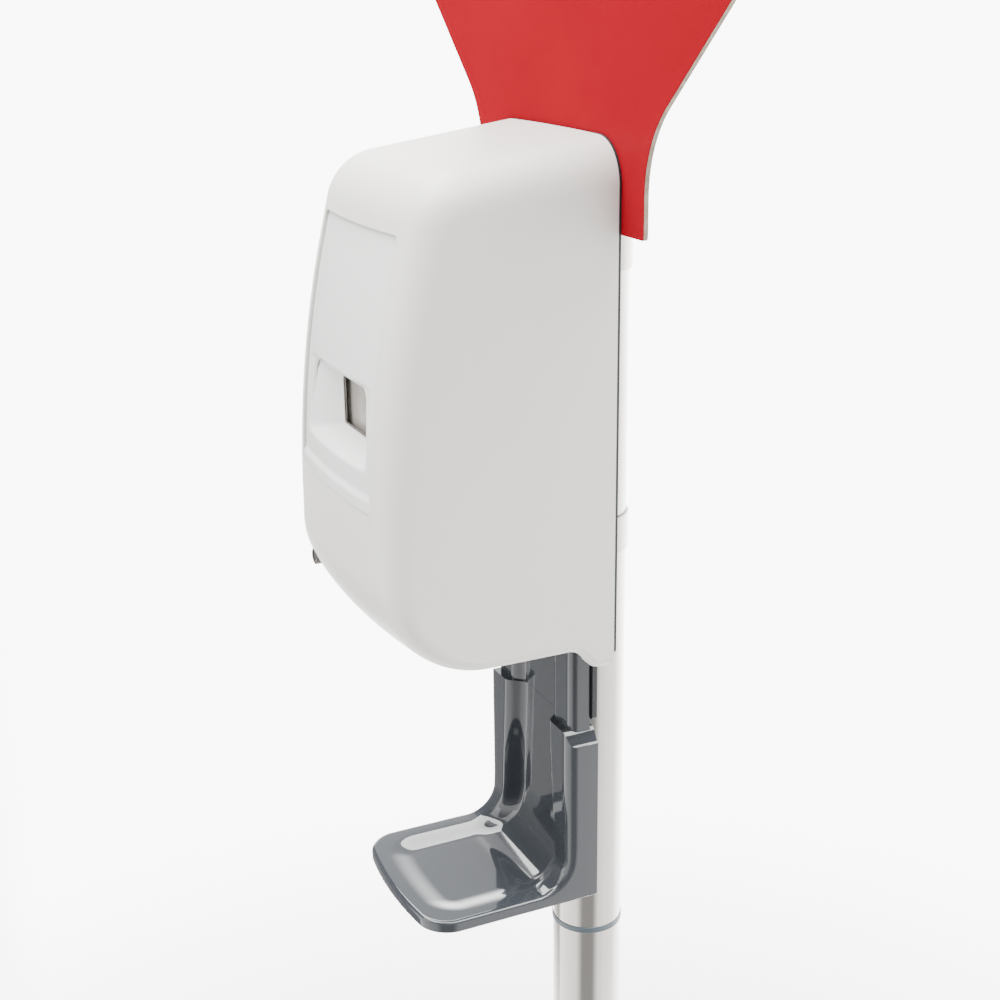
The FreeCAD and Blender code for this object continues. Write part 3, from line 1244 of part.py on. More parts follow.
def make_electrics():
    back = "dim.pole_diameter / 2 + dim.plate_gap + dim.plate_thickness + dim.chassis_wall"
    wall = "dim.case_wall"
    inner_w = "dim.battery_count * dim.battery_pitch"
    depth = "(dim.battery_diameter + 1)"
    case_out = box("case_out", (inner_w + " + 2 * " + wall, depth + " + " + wall, "dim.battery_length + 2 * " + wall + " + 1"),
                   ("-(%s) / 2 - %s" % (inner_w, wall), "-(%s) - %s - %s" % (back, depth, wall), up("battery_bottom")))
    case_in = box("case_in", (inner_w, depth + " + 1", "dim.battery_length + 1"),
                  ("-(%s) / 2" % inner_w, "-(%s) - %s - %s - 1" % (back, depth, wall),
                   up("battery_bottom") + " + " + wall))
    node("battery_box", cut("battery_box_cut", case_out, case_in))
    cells = []
    for k in range(int(d.battery_count)):
        x = "(%d - (dim.battery_count - 1) / 2) * dim.battery_pitch" % k
        y = "-(%s) - %s - dim.battery_diameter / 2 - 0.2" % (back, wall)
        z = up("battery_bottom") + " + " + wall + " + 0.1"
        can = cylinder("cell_can_%d" % k, "dim.battery_diameter", "dim.battery_length - 1.5", (x, y, z))
        tip = cylinder("cell_tip_%d" % k, "5.5", "dim.battery_length", (x, y, z))
        cells.append(fuse("cell_%d" % k, can, tip))
    node("batteries", group("cells", *cells))
    lid = box("case_lid", (inner_w + " + 2 * " + wall, "dim.case_wall", "dim.battery_length + 2 * " + wall + " + 1"),
              ("-(%s) / 2 - %s" % (inner_w, wall), "-(%s) - %s - 2 * %s - 0.1" % (back, depth, wall),
               up("battery_bottom")))
    node("battery_lid", round_part("battery_lid_soft", lid, 1, lambda edge: along(edge, "y")))

    board = box("board_slab", ("dim.board_thickness", "dim.board_depth", "dim.board_height"),
                ("-dim.housing_width / 2 + dim.chassis_wall + 0.1",
                 "-(%s) - dim.board_depth - 1" % back, up("housing_floor") + " + dim.chassis_wall"))
    chip = box("board_chip", ("2.5", "12", "12"),
               ("-dim.housing_width / 2 + dim.chassis_wall + dim.board_thickness + 0.1",
                "-(%s) - 30" % back, up("housing_floor") + " + 20"))
    plug = box("board_plug", ("6", "10", "6"),
               ("-dim.housing_width / 2 + dim.chassis_wall + dim.board_thickness + 0.1",
                "-(%s) - 48" % back, up("housing_floor") + " + 34"))
    node("circuit_board", fuse("board_solid", board, chip, plug))

    level = up("housing_floor")
    at = ("dim.lens_side", "-dim.lens_setback", level + " - 1")
    barrel = cylinder("lens_round", "dim.lens_diameter", "dim.chassis_wall + 1", at)
    flange = cylinder("lens_flange", "dim.lens_diameter + 3", "1.5",
                      ("dim.lens_side", "-dim.lens_setback", level + " + dim.chassis_wall"))
    node("sensor_lens", fuse("lens_solid", barrel, flange))


def make_tray():
    """Moulded drip tray: bowed plate with a dish, channelled column and hook-in upper end."""
    half = d.tray_width / 2
    back = -(d.pole_diameter / 2 + d.tray_gap)
    face = -d.tray_column_front
    front = -d.tray_front
    side = [
        (back, d.tray_bottom, 0),
        (back, d.tray_shoulder, 0),
        (face, d.tray_shoulder, 6),
        (face, d.tray_plate_top, d.tray_roll),
        (front - 5, d.tray_plate_top, 0),
        (front - 5, d.tray_bottom, 0),
    ]
    blank = doc.addObject("Part::Extrusion", "tray_blank")
    blank.Base = free_sketch("tray_side", side, SIDE_VIEW, ("", "", "dim.joint_height"))
    blank.DirMode = "Custom"
    blank.Dir = Vector(1, 0, 0)
    blank.Symmetric = True
    blank.setExpression("LengthFwd", "dim.tray_width")
    blank.Solid = True

    corner = d.tray_front_corner
    plan = [
        (-half, back + 1, 0),
        (-half, front + d.tray_bow, corner),
        (0, front - d.tray_bow_rise, d.tray_bow_round),
        (half, front + d.tray_bow, corner),
        (half, back + 1, 0),
    ]
    footprint = doc.addObject("Part::Extrusion", "tray_footprint")
    footprint.Base = free_sketch("tray_plan", plan, TURN["Z"], ("", "", "dim.joint_height"))
    footprint.DirMode = "Custom"
    footprint.Dir = Vector(0, 0, 1)
    footprint.setExpression("LengthFwd", "dim.tray_top")
    footprint.Solid = True
    form = common("tray_form", blank, footprint)

    tongue_back = d.pole_diameter / 2 + d.plate_gap + d.plate_thickness + d.seat_gap
    upper_half = half - d.tray_step
    upper = [
        (-upper_half, -tongue_back, 0),
        (-upper_half, face + 3.5, 5),
        (upper_half, face + 3.5, 5),
        (upper_half, -tongue_back, 0),
    ]
    tongue = doc.addObject("Part::Extrusion", "tray_tongue")
    tongue.Base = free_sketch("tray_tongue_plan", upper, TURN["Z"], ("", "", up("tray_shoulder") + " - 12"))
    tongue.DirMode = "Custom"
    tongue.Dir = Vector(0, 0, 1)
    tongue.setExpression("LengthFwd", "dim.tray_top - dim.tray_shoulder + 12")
    tongue.Solid = True

    channel_low = d.tray_plate_top + 1.5
    channel = [
        (-d.channel_low_width / 2, channel_low, 9),
        (d.channel_low_width / 2, channel_low, 9),
        (d.channel_high_width / 2, d.tray_top + 5, 0),
        (-d.channel_high_width / 2, d.tray_top + 5, 0),
    ]
    recess = doc.addObject("Part::Extrusion", "tray_channel")
    recess.Base = free_sketch("tray_channel_front", channel, TURN["-Y"], ("", "-dim.channel_back", "dim.joint_height"))
    recess.DirMode = "Custom"
    recess.Dir = Vector(0, -1, 0)
    recess.LengthFwd = 40
    recess.Solid = True

    dish_half = half - d.dish_margin
    dish = [
        (-dish_half, -d.dish_rear, 10),
        (-dish_half, front + d.tray_bow + d.dish_margin, 12),
        (0, front - d.tray_bow_rise + d.dish_margin, d.dish_bow_round),
        (dish_half, front + d.tray_bow + d.dish_margin, 12),
        (dish_half, -d.dish_rear, 10),
    ]
    basin = doc.addObject("Part::Extrusion", "tray_dish")
    basin.Base = free_sketch("tray_dish_plan", dish, TURN["Z"],
                             ("", "", up("tray_plate_top") + " - dim.dish_depth"))
    basin.DirMode = "Custom"
    basin.Dir = Vector(0, 0, 1)
    basin.LengthFwd = 20
    basin.TaperAngle = 0
    basin.Solid = True
    node("drip_tray", cut("drip_tray_cut", fuse("tray_solid", form, tongue), recess, basin))


MAKERS = (
    make_base,
    make_pole,
    make_top_fitting,
    make_sign,
    make_back_plate,
    make_lower_clamp,
    make_screws,
    make_chassis,
    make_drive,
    make_refill,
    make_electrics,
    make_cover,
    make_tray,
)
for make in MAKERS:
    make()
doc.recompute()

for item in doc.Objects:
    if "Invalid" in item.State or "Error" in item.State:
        raise RuntimeError("%s did not compute: %s" % (item.Name, item.State))
os.makedirs("parts", exist_ok=True)
for name, item in parts.items():
    shape = item.Shape
    if shape.isNull() or not shape.isValid() or not shape.Solids:
        raise RuntimeError("%s has no valid solid" % name)
    shape.exportStep("parts/%s.step" % name)
    print(name, len(shape.Solids), round(shape.Volume), shape.BoundBox)
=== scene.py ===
import math

import bmesh
import bpy
from bpy.props import FloatProperty, FloatVectorProperty, PointerProperty
from mathutils import Matrix, Vector


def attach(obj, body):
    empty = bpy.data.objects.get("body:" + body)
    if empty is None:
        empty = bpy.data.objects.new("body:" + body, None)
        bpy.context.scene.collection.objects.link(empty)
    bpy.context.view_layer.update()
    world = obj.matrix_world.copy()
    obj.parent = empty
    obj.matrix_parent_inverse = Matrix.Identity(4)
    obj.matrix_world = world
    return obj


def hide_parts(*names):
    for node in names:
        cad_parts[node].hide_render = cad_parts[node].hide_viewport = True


bl_info = {
    "name": "Hand sanitizer floor stand",
    "version": (1, 0, 0),
    "blender": (4, 5, 0),
    "location": "View3D > Sidebar > Stand",
    "description": "Builds the looks of a hand sanitizer floor stand around its CAD parts",
    "category": "Add Mesh",
}

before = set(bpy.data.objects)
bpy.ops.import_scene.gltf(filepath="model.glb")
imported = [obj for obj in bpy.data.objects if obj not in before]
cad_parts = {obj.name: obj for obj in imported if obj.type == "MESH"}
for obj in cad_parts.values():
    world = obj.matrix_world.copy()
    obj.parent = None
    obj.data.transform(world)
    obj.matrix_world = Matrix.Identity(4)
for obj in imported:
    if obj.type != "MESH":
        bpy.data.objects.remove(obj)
MM = 0.001
JOINT = 0.850  # floor to the upper edge of the joint ring, metres


def linear(code, alpha=1.0):
    """sRGB hex to a linear colour."""
    channels = [int(code[k:k + 2], 16) / 255 for k in (1, 3, 5)]
    return [c / 12.92 if c <= 0.04045 else ((c + 0.055) / 1.055) ** 2.4 for c in channels] + [alpha]


def add(tree, kind, links=(), values=(), **settings):
    """Add a node with its properties, its socket values and its links, given as (socket, source)."""
    node = tree.nodes.new(kind)
    for key, value in settings.items():
        setattr(node, key, value)
    for socket, value in dict(values).items():
        node.inputs[socket].default_value = value
    for socket, source in links:
        tree.links.new(node.inputs[socket], source)
    return node


# Materials.

def new_material(name):
    material = bpy.data.materials.new(name)
    material.use_nodes = True
    material.node_tree.nodes.clear()
    return material, material.node_tree


def ramp(tree, source, stops):
    """Colour ramp over a value; stops are (place, colour)."""
    node = add(tree, "ShaderNodeValToRGB", [("Fac", source)])
    while len(node.color_ramp.elements) < len(stops):
        node.color_ramp.elements.new(0.5)
    for element, (place, colour) in zip(node.color_ramp.elements, stops):
        element.position = place
        element.color = colour
    return node.outputs["Color"]


def spread(tree, source, low, high, start=0.3, end=0.7):
    """A value mapped from start..end to low..high and held beyond."""
    node = add(tree, "ShaderNodeMapRange", [("Value", source)],
               {"From Min": start, "From Max": end, "To Min": low, "To Max": high})
    return node.outputs["Result"]


def coordinates(tree, scale=(1, 1, 1)):
    """Object coordinates in metres, stretched by a scale."""
    place = add(tree, "ShaderNodeTexCoord")
    return add(tree, "ShaderNodeMapping", [("Vector", place.outputs["Object"])], {"Scale": scale}).outputs["Vector"]


def noise(tree, vector, scale, detail=3.0):
    return add(tree, "ShaderNodeTexNoise", [("Vector", vector)], {"Scale": scale, "Detail": detail}).outputs["Fac"]


def bump(tree, height, distance, under=None):
    links = [("Height", height)] + ([("Normal", under)] if under else [])
    return add(tree, "ShaderNodeBump", links, {"Distance": distance, "Strength": 1.0}).outputs["Normal"]


def surface(name, colours, rough, grain, depth, cloud=8, stretch=(1, 1, 1), waves=None, **sockets):
    """Principled surface: colour drifts in soft clouds, roughness and fine relief come from noise.

    grain is the relief's scale per metre and depth its height in metres; waves adds a long, low
    relief as (scale per metre, height in metres). sockets are further shader values."""
    material, tree = new_material(name)
    plain = coordinates(tree)
    fine = noise(tree, coordinates(tree, stretch), grain)
    tone = ramp(tree, noise(tree, plain, cloud), [(0.35, linear(colours[0])), (0.65, linear(colours[1]))])
    normal = bump(tree, fine, depth)
    if waves:
        normal = bump(tree, noise(tree, plain, waves[0], 1.0), waves[1], normal)
    values = {key.replace("_", " "): value for key, value in sockets.items()}
    shader = add(tree, "ShaderNodeBsdfPrincipled",
                 [("Base Color", tone), ("Roughness", spread(tree, fine, *rough)), ("Normal", normal)], values)
    add(tree, "ShaderNodeOutputMaterial", [("Surface", shader.outputs["BSDF"])])
    return material


def metal(name, colours, rough, grain, depth, **more):
    return surface(name, colours, rough, grain, depth, Metallic=1.0, **more)


LOOKS = {}
ALONG_TUBE = (1, 1, 0.02)
ROUND_TUBE = (0.02, 0.02, 1)


def make_looks():
    """Every material of the stand, keyed by a short name."""
    colours = bpy.context.scene.stand_colours
    shell = tuple(colours.shell) + (1.0,)
    LOOKS.update({
        "tube": metal("satin stainless tube, belt polished", ("#c6c2bc", "#bab6b0"), (0.11, 0.17), 6000, 0.0000004,
                      stretch=ROUND_TUBE, cloud=5),
        "plate": metal("brushed stainless plate", ("#c4c3c0", "#b9b8b5"), (0.28, 0.42), 5000, 0.000003,
                       stretch=(0.03, 1, 1)),
        "ring": surface("grey moulded nylon ring", ("#48535a", "#434d53"), (0.30, 0.40), 3000, 0.000004),
        "rubber": surface("black moulded rubber", ("#1b1b1c", "#232324"), (0.6, 0.75), 2500, 0.00001),
        "zinc": metal("bright zinc plated steel", ("#b9bbb8", "#a9aca8"), (0.25, 0.4), 2500, 0.000003),
        "aluminium": metal("turned aluminium", ("#c9cacc", "#bdbec0"), (0.25, 0.38), 5000, 0.000002,
                           stretch=ROUND_TUBE),
        "red": surface("red high-gloss laminate, fine orange peel", ("#8b0f1c", "#850e1a"), (0.14, 0.20), 2500,
                       0.0000004, cloud=14, waves=(420, 0.000012), Specular_IOR_Level=0.006),
        "fibreboard": surface("bare fibreboard edge, sawn", ("#9c8f80", "#857868"), (0.75, 0.9), 1800, 0.00006,
                              cloud=300, Specular_IOR_Level=0.2),
        "seal": surface("grey moulded seal", ("#5a504a", "#4d4540"), (0.35, 0.5), 2500, 0.000004),
        "black": surface("black powder coated steel", ("#17181a", "#1c1d1f"), (0.42, 0.55), 1400, 0.00001),
        "abs": surface("off-white ABS, fine spark-eroded satin", ("#d3d1cb", "#cfcdc7"), (0.36, 0.46), 3200, 0.000005,
                       cloud=6),
        "panel": surface("white high-gloss ABS", ("#d9d9d7", "#d5d5d3"), (0.13, 0.19), 2500, 0.0000006,
                         waves=(90, 0.00002)),
        "grey_abs": surface("grey moulded ABS", ("#8d9092", "#87898b"), (0.38, 0.5), 2500, 0.000006),
        "acetal": surface("natural acetal", ("#e4e2d8", "#dddbd0"), (0.3, 0.4), 2500, 0.000003),
        "bottle": surface("frosted polyethylene bottle with gel", ("#cfd6d6", "#c6cfd0"), (0.3, 0.42), 1500, 0.000005),
        "pump": surface("white polypropylene", ("#e9e9e5", "#e2e2de"), (0.28, 0.36), 2000, 0.000003),
        "board": surface("green solder mask on glass fibre", ("#0f4a2a", "#0c4125"), (0.25, 0.35), 2500, 0.000006),
        "cell": surface("battery sleeve, black shrink film", ("#20242a", "#1a1e24"), (0.2, 0.3), 1500, 0.000004),
        "lens": surface("infrared filter, dark red acrylic", ("#1d070a", "#180508"), (0.08, 0.14), 900, 0.000001),
        "tray": surface("slate grey high-gloss ABS", ("#2f3236", "#2c2f33"), (0.05, 0.09), 2500, 0.0000005,
                        waves=(50, 0.00003), Coat_Weight=0.3, Coat_Roughness=0.03),
        "chrome": metal("nickel plated zinc casting", ("#b9b9b6", "#aaaaa7"), (0.12, 0.22), 2500, 0.000002),
        "window": surface("clear moulded acrylic", ("#e6e0d8", "#ddd6cd"), (0.06, 0.12), 900, 0.000004,
                          Transmission_Weight=0.6, IOR=1.49),
    })
    for node in LOOKS["abs"].node_tree.nodes:
        if node.type == "VALTORGB":
            node.color_ramp.elements[0].color = shell


NODE_LOOKS = {
    "tube": ("lower_tube", "upper_tube", "top_fitting", "lower_clamp"),
    "plate": ("base_plate", "foot_collar"),
    "ring": ("joint_ring",),
    "rubber": ("rubber_feet",),
    "zinc": ("base_bolt", "foot_plug", "clamp_screws", "clamp_nuts", "sign_screws", "hinge_pins", "gear_axle",
             "guide_rods", "gear_bracket", "motor"),
    "aluminium": ("joint_spigot",),
    "red": ("sign_panel",),
    "black": ("back_plate",),
    "abs": ("cover",),
    "panel": ("front_panel",),
    "window": ("sight_window",),
    "grey_abs": ("chassis", "drive_cover", "battery_box", "battery_lid"),
    "acetal": ("drive_gear", "motor_pinion", "pump_pusher"),
    "bottle": ("refill_bottle",),
    "pump": ("pump_cylinder", "pump_nozzle"),
    "board": ("circuit_board",),
    "cell": ("batteries",),
    "lens": ("sensor_lens",),
    "tray": ("drip_tray",),
    "chrome": ("lock_barrel", "lock_cam"),
}


# Shared mesh helpers.

def piece(name, points, faces, look, body, *nodes, like=None, smooth_angle=30.0):
    """A finished mesh from points in millimetres above the joint, smooth but for sharp edges."""
    mesh = bpy.data.meshes.new(name)
    mesh.from_pydata([(x * MM, y * MM, z * MM + JOINT) for x, y, z in points], [], faces)
    cleaner = bmesh.new()
    cleaner.from_mesh(mesh)
    bmesh.ops.remove_doubles(cleaner, verts=cleaner.verts, dist=1e-6)
    bmesh.ops.recalc_face_normals(cleaner, faces=cleaner.faces)
    for edge in cleaner.edges:
        edge.smooth = len(edge.link_faces) == 2 and edge.calc_face_angle() < math.radians(smooth_angle)
    for face in cleaner.faces:
        face.smooth = True
    cleaner.to_mesh(mesh)
    cleaner.free()
    mesh.materials.append(LOOKS[look])
    return place(bpy.data.objects.new(name, mesh), body, nodes, like)


def place(item, body, nodes=(), like=None):
    """Put a finished object on its moving body and hide the CAD nodes that it stands for; the like argument is not
    used.
    """
    bpy.context.scene.collection.objects.link(item)
    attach(item, body)
    if nodes:
        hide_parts(*nodes)
    return item


def sheet_faces(rows, wide, first=0):
    """Quads of a grid whose rows follow each other."""
    return [(first + r * wide + c, first + r * wide + c + 1, first + (r + 1) * wide + c + 1, first + (r + 1) * wide + c)
            for r in range(rows - 1) for c in range(wide - 1)]


def strip(row_a, row_b):
    """Quads between two rows of points."""
    return [(row_a[k], row_a[k + 1], row_b[k + 1], row_b[k]) for k in range(len(row_a) - 1)]


def smooth(t):
    t = min(max(t, 0.0), 1.0)
    return t * t * (3 - 2 * t)


def round_off(inwards, radius):
    """How far a rounded edge lies back at a distance inwards."""
    return radius - math.sqrt(max(radius ** 2 - (radius - inwards) ** 2, 0.0)) if inwards < radius else 0.0


def steps(fine, end, pitch):
    """Places from an edge inwards: a fine list first, then an even pitch up to the end."""
    places = list(fine)
    count = max(int((end - places[-1]) / pitch), 1)
    return places + [places[-1] + (end - places[-1]) * (k + 1) / count for k in range(count)]


def both_sides(inward, half):
    """Places from -half to half, given the distances in from either edge."""
    return [a - half for a in inward] + [half - a for a in reversed(inward[:-1])]


def spaced(stops, pitch):
    """Even steps between stops, each stop kept."""
    places = [stops[0]]
    for start, end in zip(stops, stops[1:]):
        count = max(int(round((end - start) / pitch)), 1)
        places += [start + (end - start) * (k + 1) / count for k in range(count)]
    return places


def rounded(corners, pitch=4.0):
    """Closed polyline through (x, y, radius) corners, arcs stepped by an angle in degrees."""
    line = []
    for k, (x, y, radius) in enumerate(corners):
        corner = Vector((x, y))
        before = (Vector(corners[k - 1][:2]) - corner).normalized()
        after = (Vector(corners[(k + 1) % len(corners)][:2]) - corner).normalized()
        half = before.angle(after) / 2
        centre = corner + (before + after).normalized() * (radius / math.sin(half))
        start = corner + before * (radius / math.tan(half)) - centre
        turn = math.pi - 2 * half
        sense = 1 if start.x * (corner - centre).y - start.y * (corner - centre).x > 0 else -1
        count = max(int(math.degrees(turn) / pitch), 2)
        for n in range(count + 1):
            angle = sense * turn * n / count
            line.append((centre.x + start.x * math.cos(angle) - start.y * math.sin(angle),
                         centre.y + start.x * math.sin(angle) + start.y * math.cos(angle)))
    return line


# Settings, in metres and turned to millimetres where a piece is built.

def length(name, description, default):
    return FloatProperty(name=name, description=description, default=default, unit="LENGTH", subtype="DISTANCE",
                         precision=5)


class StandColours(bpy.types.PropertyGroup):
    shell: FloatVectorProperty(
        name="Shell", description="Colour of the dispenser's cover", subtype="COLOR", size=3, min=0, max=1,
        default=linear("#d3d1cb")[:3])


class StandTray(bpy.types.PropertyGroup):
    half_width: length("Half width", "Middle of the drip tray to its side", 0.0485)
    front: length("Front", "Pole axis to the middle of the front edge", 0.117)
    top: length("Rim height", "Rim of the tray above the joint", 0.0495)
    underside: length("Underside", "Underside of the tray above the joint", 0.043)
    back: length("Back", "Pole axis to the back of the tray", 0.0196)
    column_front: length("Column front", "Pole axis to the front of the column", 0.0365)
    roll: length("Roll", "Hollow round from the plate to the column", 0.017)
    shoulder: length("Shoulder", "Top of the broad column above the joint", 0.139)
    corner: length("Corner", "Front corners", 0.014)
    bow: length("Bow", "Radius of the bowed front edge", 0.230)
    dish: length("Dish depth", "Depth of the dish under the rim", 0.0026)
    channel: length("Channel depth", "Depth of the channel in the column", 0.009)


class StandInlay(bpy.types.PropertyGroup):
    half_width: length("Half width", "Middle of the inlay to its side", 0.04735)
    bottom: length("Bottom", "Lower edge above the joint", 0.27215)
    top: length("Top", "Upper edge above the joint", 0.39685)
    sunk: length("Sunk", "Depth of the inlay's face under the cover's", 0.0013)
    thickness: length("Thickness", "Wall of the inlay", 0.0012)
    bevel: length("Bevel", "Height of the sloped lower edge", 0.009)
    scoop_half: length("Scoop half width", "Middle of the scoop to its side", 0.040)
    scoop_bottom: length("Scoop bottom", "Lower edge of the scoop above the joint", 0.291)
    scoop_top: length("Scoop top", "Upper edge of the scoop above the joint", 0.329)
    scoop_floor: length("Scoop floor", "Pole axis to the floor of the scoop", 0.1235)
    window_half: length("Window half width", "Middle of the sight window to its side", 0.0195)
    window_bottom: length("Window bottom", "Lower edge of the sight window above the joint", 0.297)
    window_top: length("Window top", "Upper edge of the sight window above the joint", 0.3225)
    seal: length("Seal", "Thickness of the bead round the sight window", 0.0009)


class StandLock(bpy.types.PropertyGroup):
    side: length("Side", "Middle of the front to the lock's axis", 0.0485)
    height: length("Height", "Lock's axis above the joint", 0.220)
    rim: length("Rim radius", "Outer radius of the dark rim", 0.0043)
    barrel: length("Barrel radius", "Radius of the lock barrel", 0.0036)
    face: length("Face", "Pole axis to the face of the rim", 0.1339)
    rear: length("Rear", "Pole axis to the rear of the lock barrel", 0.1145)


class StandSign(bpy.types.PropertyGroup):
    neck_half: length("Neck half width", "Middle of the sign to its side beside the pole", 0.08475)
    half_width: length("Half width", "Middle of the sign to its side at the widest", 0.190)
    bottom: length("Bottom", "Lower edge above the joint", 0.392)
    flare: length("Flare", "Where the sides turn outwards, above the joint", 0.434)
    top: length("Top", "Upper edge above the joint", 0.740)
    front: length("Front", "Pole axis to the front face", 0.0192)
    thickness: length("Thickness", "Thickness of the laminated board", 0.0026)
    laminate: length("Laminate", "Broken edge of the laminate", 0.00025)
    slope: FloatProperty(name="Slope", description="Flare of the sides from the vertical",
                         default=math.radians(47.4), subtype="ANGLE", unit="ROTATION")


class StandStage(bpy.types.PropertyGroup):
    overhead: FloatProperty(name="Overhead", description="Power of the large overhead softbox", default=1300,
                            unit="POWER")
    key: FloatProperty(name="Front key", description="Power of the soft light at the left front", default=30,
                       unit="POWER")
    surround: FloatProperty(name="Surround", description="Strength of the white surround", default=9.5)
    side: FloatProperty(name="Side fill", description="Power of the soft light above the right side", default=12,
                        unit="POWER")
    paper: length("Paper", "Radius of the studio paper", 1.3)


class Sizes:
    """A property group's lengths as millimetres."""

    def __init__(self, group):
        for key in group.bl_rna.properties.keys():
            value = getattr(group, key)
            if isinstance(value, float):
                setattr(self, key, value / MM)


# Drip tray.

class TrayForm:
    """One folded surface with a dish that runs up into the column's channel."""

    def __init__(self, s):
        self.s = s
        self.plate = s.front - s.column_front - s.roll
        self.arc = s.roll * math.pi / 2
        self.end = self.plate + self.arc + s.shoulder - s.top - s.roll

    def fold(self, v):
        """Place and inward direction at a distance v from the front edge, over the plate and up the column."""
        s = self.s
        if v < self.plate:
            return (-s.front + v, s.top), (0.0, -1.0)
        if v < self.plate + self.arc:
            phi = (v - self.plate) / s.roll
            across, up = math.sin(phi), -math.cos(phi)
            return (-s.column_front - s.roll + s.roll * across, s.top + s.roll + s.roll * up), (across, up)
        return (-s.column_front, s.top + s.roll + v - self.plate - self.arc), (1.0, 0.0)

    def inwards(self, x, v, half, corner, front):
        """Distance inwards from the bowed outline with rounded corners."""
        beside = half - abs(x)
        ahead = v - front - x * x / (2 * self.s.bow)
        if beside < corner and ahead < corner:
            return corner - math.hypot(corner - beside, corner - ahead)
        return min(beside, ahead)

    def depth(self, x, v):
        """How far the moulded surface lies under the plain fold."""
        s = self.s
        climb = smooth((v - self.plate + 6) / 44)
        depth = round_off(self.inwards(x, v, s.half_width, s.corner, 0.0), 2.2 + 4.2 * climb)
        half = 41.0 - 9.0 * climb - 4.0 * smooth((v - self.plate - 30) / 70)
        inside = self.inwards(x, v, half, 18.0, 7.0)
        return depth + (s.dish + (s.channel - s.dish) * climb) * smooth(inside / (15.0 - 4.5 * climb))


def tray_tongue(first):
    """Narrower upper end of the tray that slides up inside the dispenser."""
    half, front, back, low, high = 44.0, 33.0, 22.0, 128.0, 197.0
    xs = both_sides(steps((0, 0.2, 0.6, 1.1, 1.8, 2.7, 3.8, 5.0), half, 1.3), half)
    heights = steps((low,), high, 2.5)
    wide, rows = len(xs), len(heights)
    points = [(x, -front + round_off(half - abs(x), 4.5) + 5.6 * smooth((26.5 - abs(x)) / 7.0), z)
              for z in heights for x in xs]
    faces = sheet_faces(rows, wide, first)
    lower = [first + c for c in range(wide)]
    upper = [first + (rows - 1) * wide + c for c in range(wide)]
    rear = first + len(points)
    points += [(x, -back, z) for z in (low, high) for x in xs]
    rear_low = [rear + c for c in range(wide)]
    rear_high = [rear + wide + c for c in range(wide)]
    faces += strip(lower, rear_low) + strip(upper, rear_high)
    faces.append(tuple([first + r * wide for r in range(rows)] + [rear_high[0], rear_low[0]]))
    faces.append(tuple([first + r * wide + wide - 1 for r in range(rows)] + [rear_high[-1], rear_low[-1]]))
    faces.append(tuple(rear_low + rear_high[::-1]))
    return points, faces


def build_tray():
    s = Sizes(bpy.context.scene.stand_tray)
    form = TrayForm(s)
    xs = both_sides(steps((0, 0.12, 0.4, 0.8, 1.3, 1.9, 2.6, 3.5, 4.7, 6.1, 7.7, 9.2), s.half_width, 1.1), s.half_width)
    vs = steps((0, 0.12, 0.4, 0.8, 1.3, 1.9, 2.6, 3.5), form.end, 1.1)
    points = []
    for v0 in vs:
        for x in xs:
            start = x * x / (2 * s.bow) + round_off(s.half_width - abs(x), s.corner)
            end = form.end - 7.0 * smooth((abs(x) - 42.5) / 6.0)
            v = start + (end - start) * v0 / form.end
            (y, z), (ny, nz) = form.fold(v)
            depth = form.depth(x, v)
            points.append((x, y + ny * depth, z + nz * depth))
    wide, rows = len(xs), len(vs)
    faces = sheet_faces(rows, wide)
    front_row = list(range(wide))
    top_row = [(rows - 1) * wide + c for c in range(wide)]
    skirt = [len(points) + c for c in range(wide)]
    points += [(x, y, s.underside + 0.7) for x, y, _ in points[:wide]]
    sole = [len(points) + c for c in range(wide)]
    points += [(x * (1 - 0.6 / s.half_width), y + 0.6, s.underside) for x, y, _ in points[:wide]]
    faces += strip(front_row, skirt) + strip(skirt, sole)
    corner = len(points)
    inset = s.half_width - 0.6
    points += [(-s.half_width, -s.back, s.underside + 0.7), (s.half_width, -s.back, s.underside + 0.7),
               (-inset, -s.back, s.underside), (inset, -s.back, s.underside)]
    low_left, low_right, sole_left, sole_right = range(corner, corner + 4)
    top_back = [len(points) + c for c in range(wide)]
    points += [(points[k][0], -s.back, points[k][2]) for k in top_row]
    faces += strip(top_row, top_back)
    faces.append(tuple([r * wide for r in range(rows)] + [top_back[0], low_left, skirt[0]]))
    faces.append(tuple([r * wide + wide - 1 for r in range(rows)] + [top_back[-1], low_right, skirt[-1]]))
    faces.append((skirt[0], low_left, sole_left, sole[0]))
    faces.append((skirt[-1], low_right, sole_right, sole[-1]))
    faces.append(tuple([low_left, sole_left, sole_right, low_right] + top_back[::-1]))
    faces.append(tuple(sole + [sole_right, sole_left]))
    more_points, more_faces = tray_tongue(len(points))
    return piece("moulded_drip_tray", points + more_points, faces + more_faces, "tray", "tray", "drip_tray")


# Front inlay.

def face_y(x, z):
    """The cover's bowed and leaning front, pole axis at 0."""
    front, bend, bend_end, bend_round, bow = -140.0, 256.1, 382.1, 540.0, 400.0
    if z < bend:
        y = front
    elif z < bend_end:
        y = front + bend_round - math.sqrt(bend_round ** 2 - (z - bend) ** 2)
    else:
        y = front + (z - 320.0) * math.tan(math.radians(13.5))
    axis = front + bow
    return axis - math.sqrt((axis - y) ** 2 - x ** 2)


def soft_clamp(t, sharp=18.0):
    """Ramp from 0 to 1 with both ends rounded."""
    def soft(v):
        return math.log1p(math.exp(-abs(v))) + max(v, 0.0)
    return (soft(sharp * t) - soft(sharp * (t - 1))) / sharp


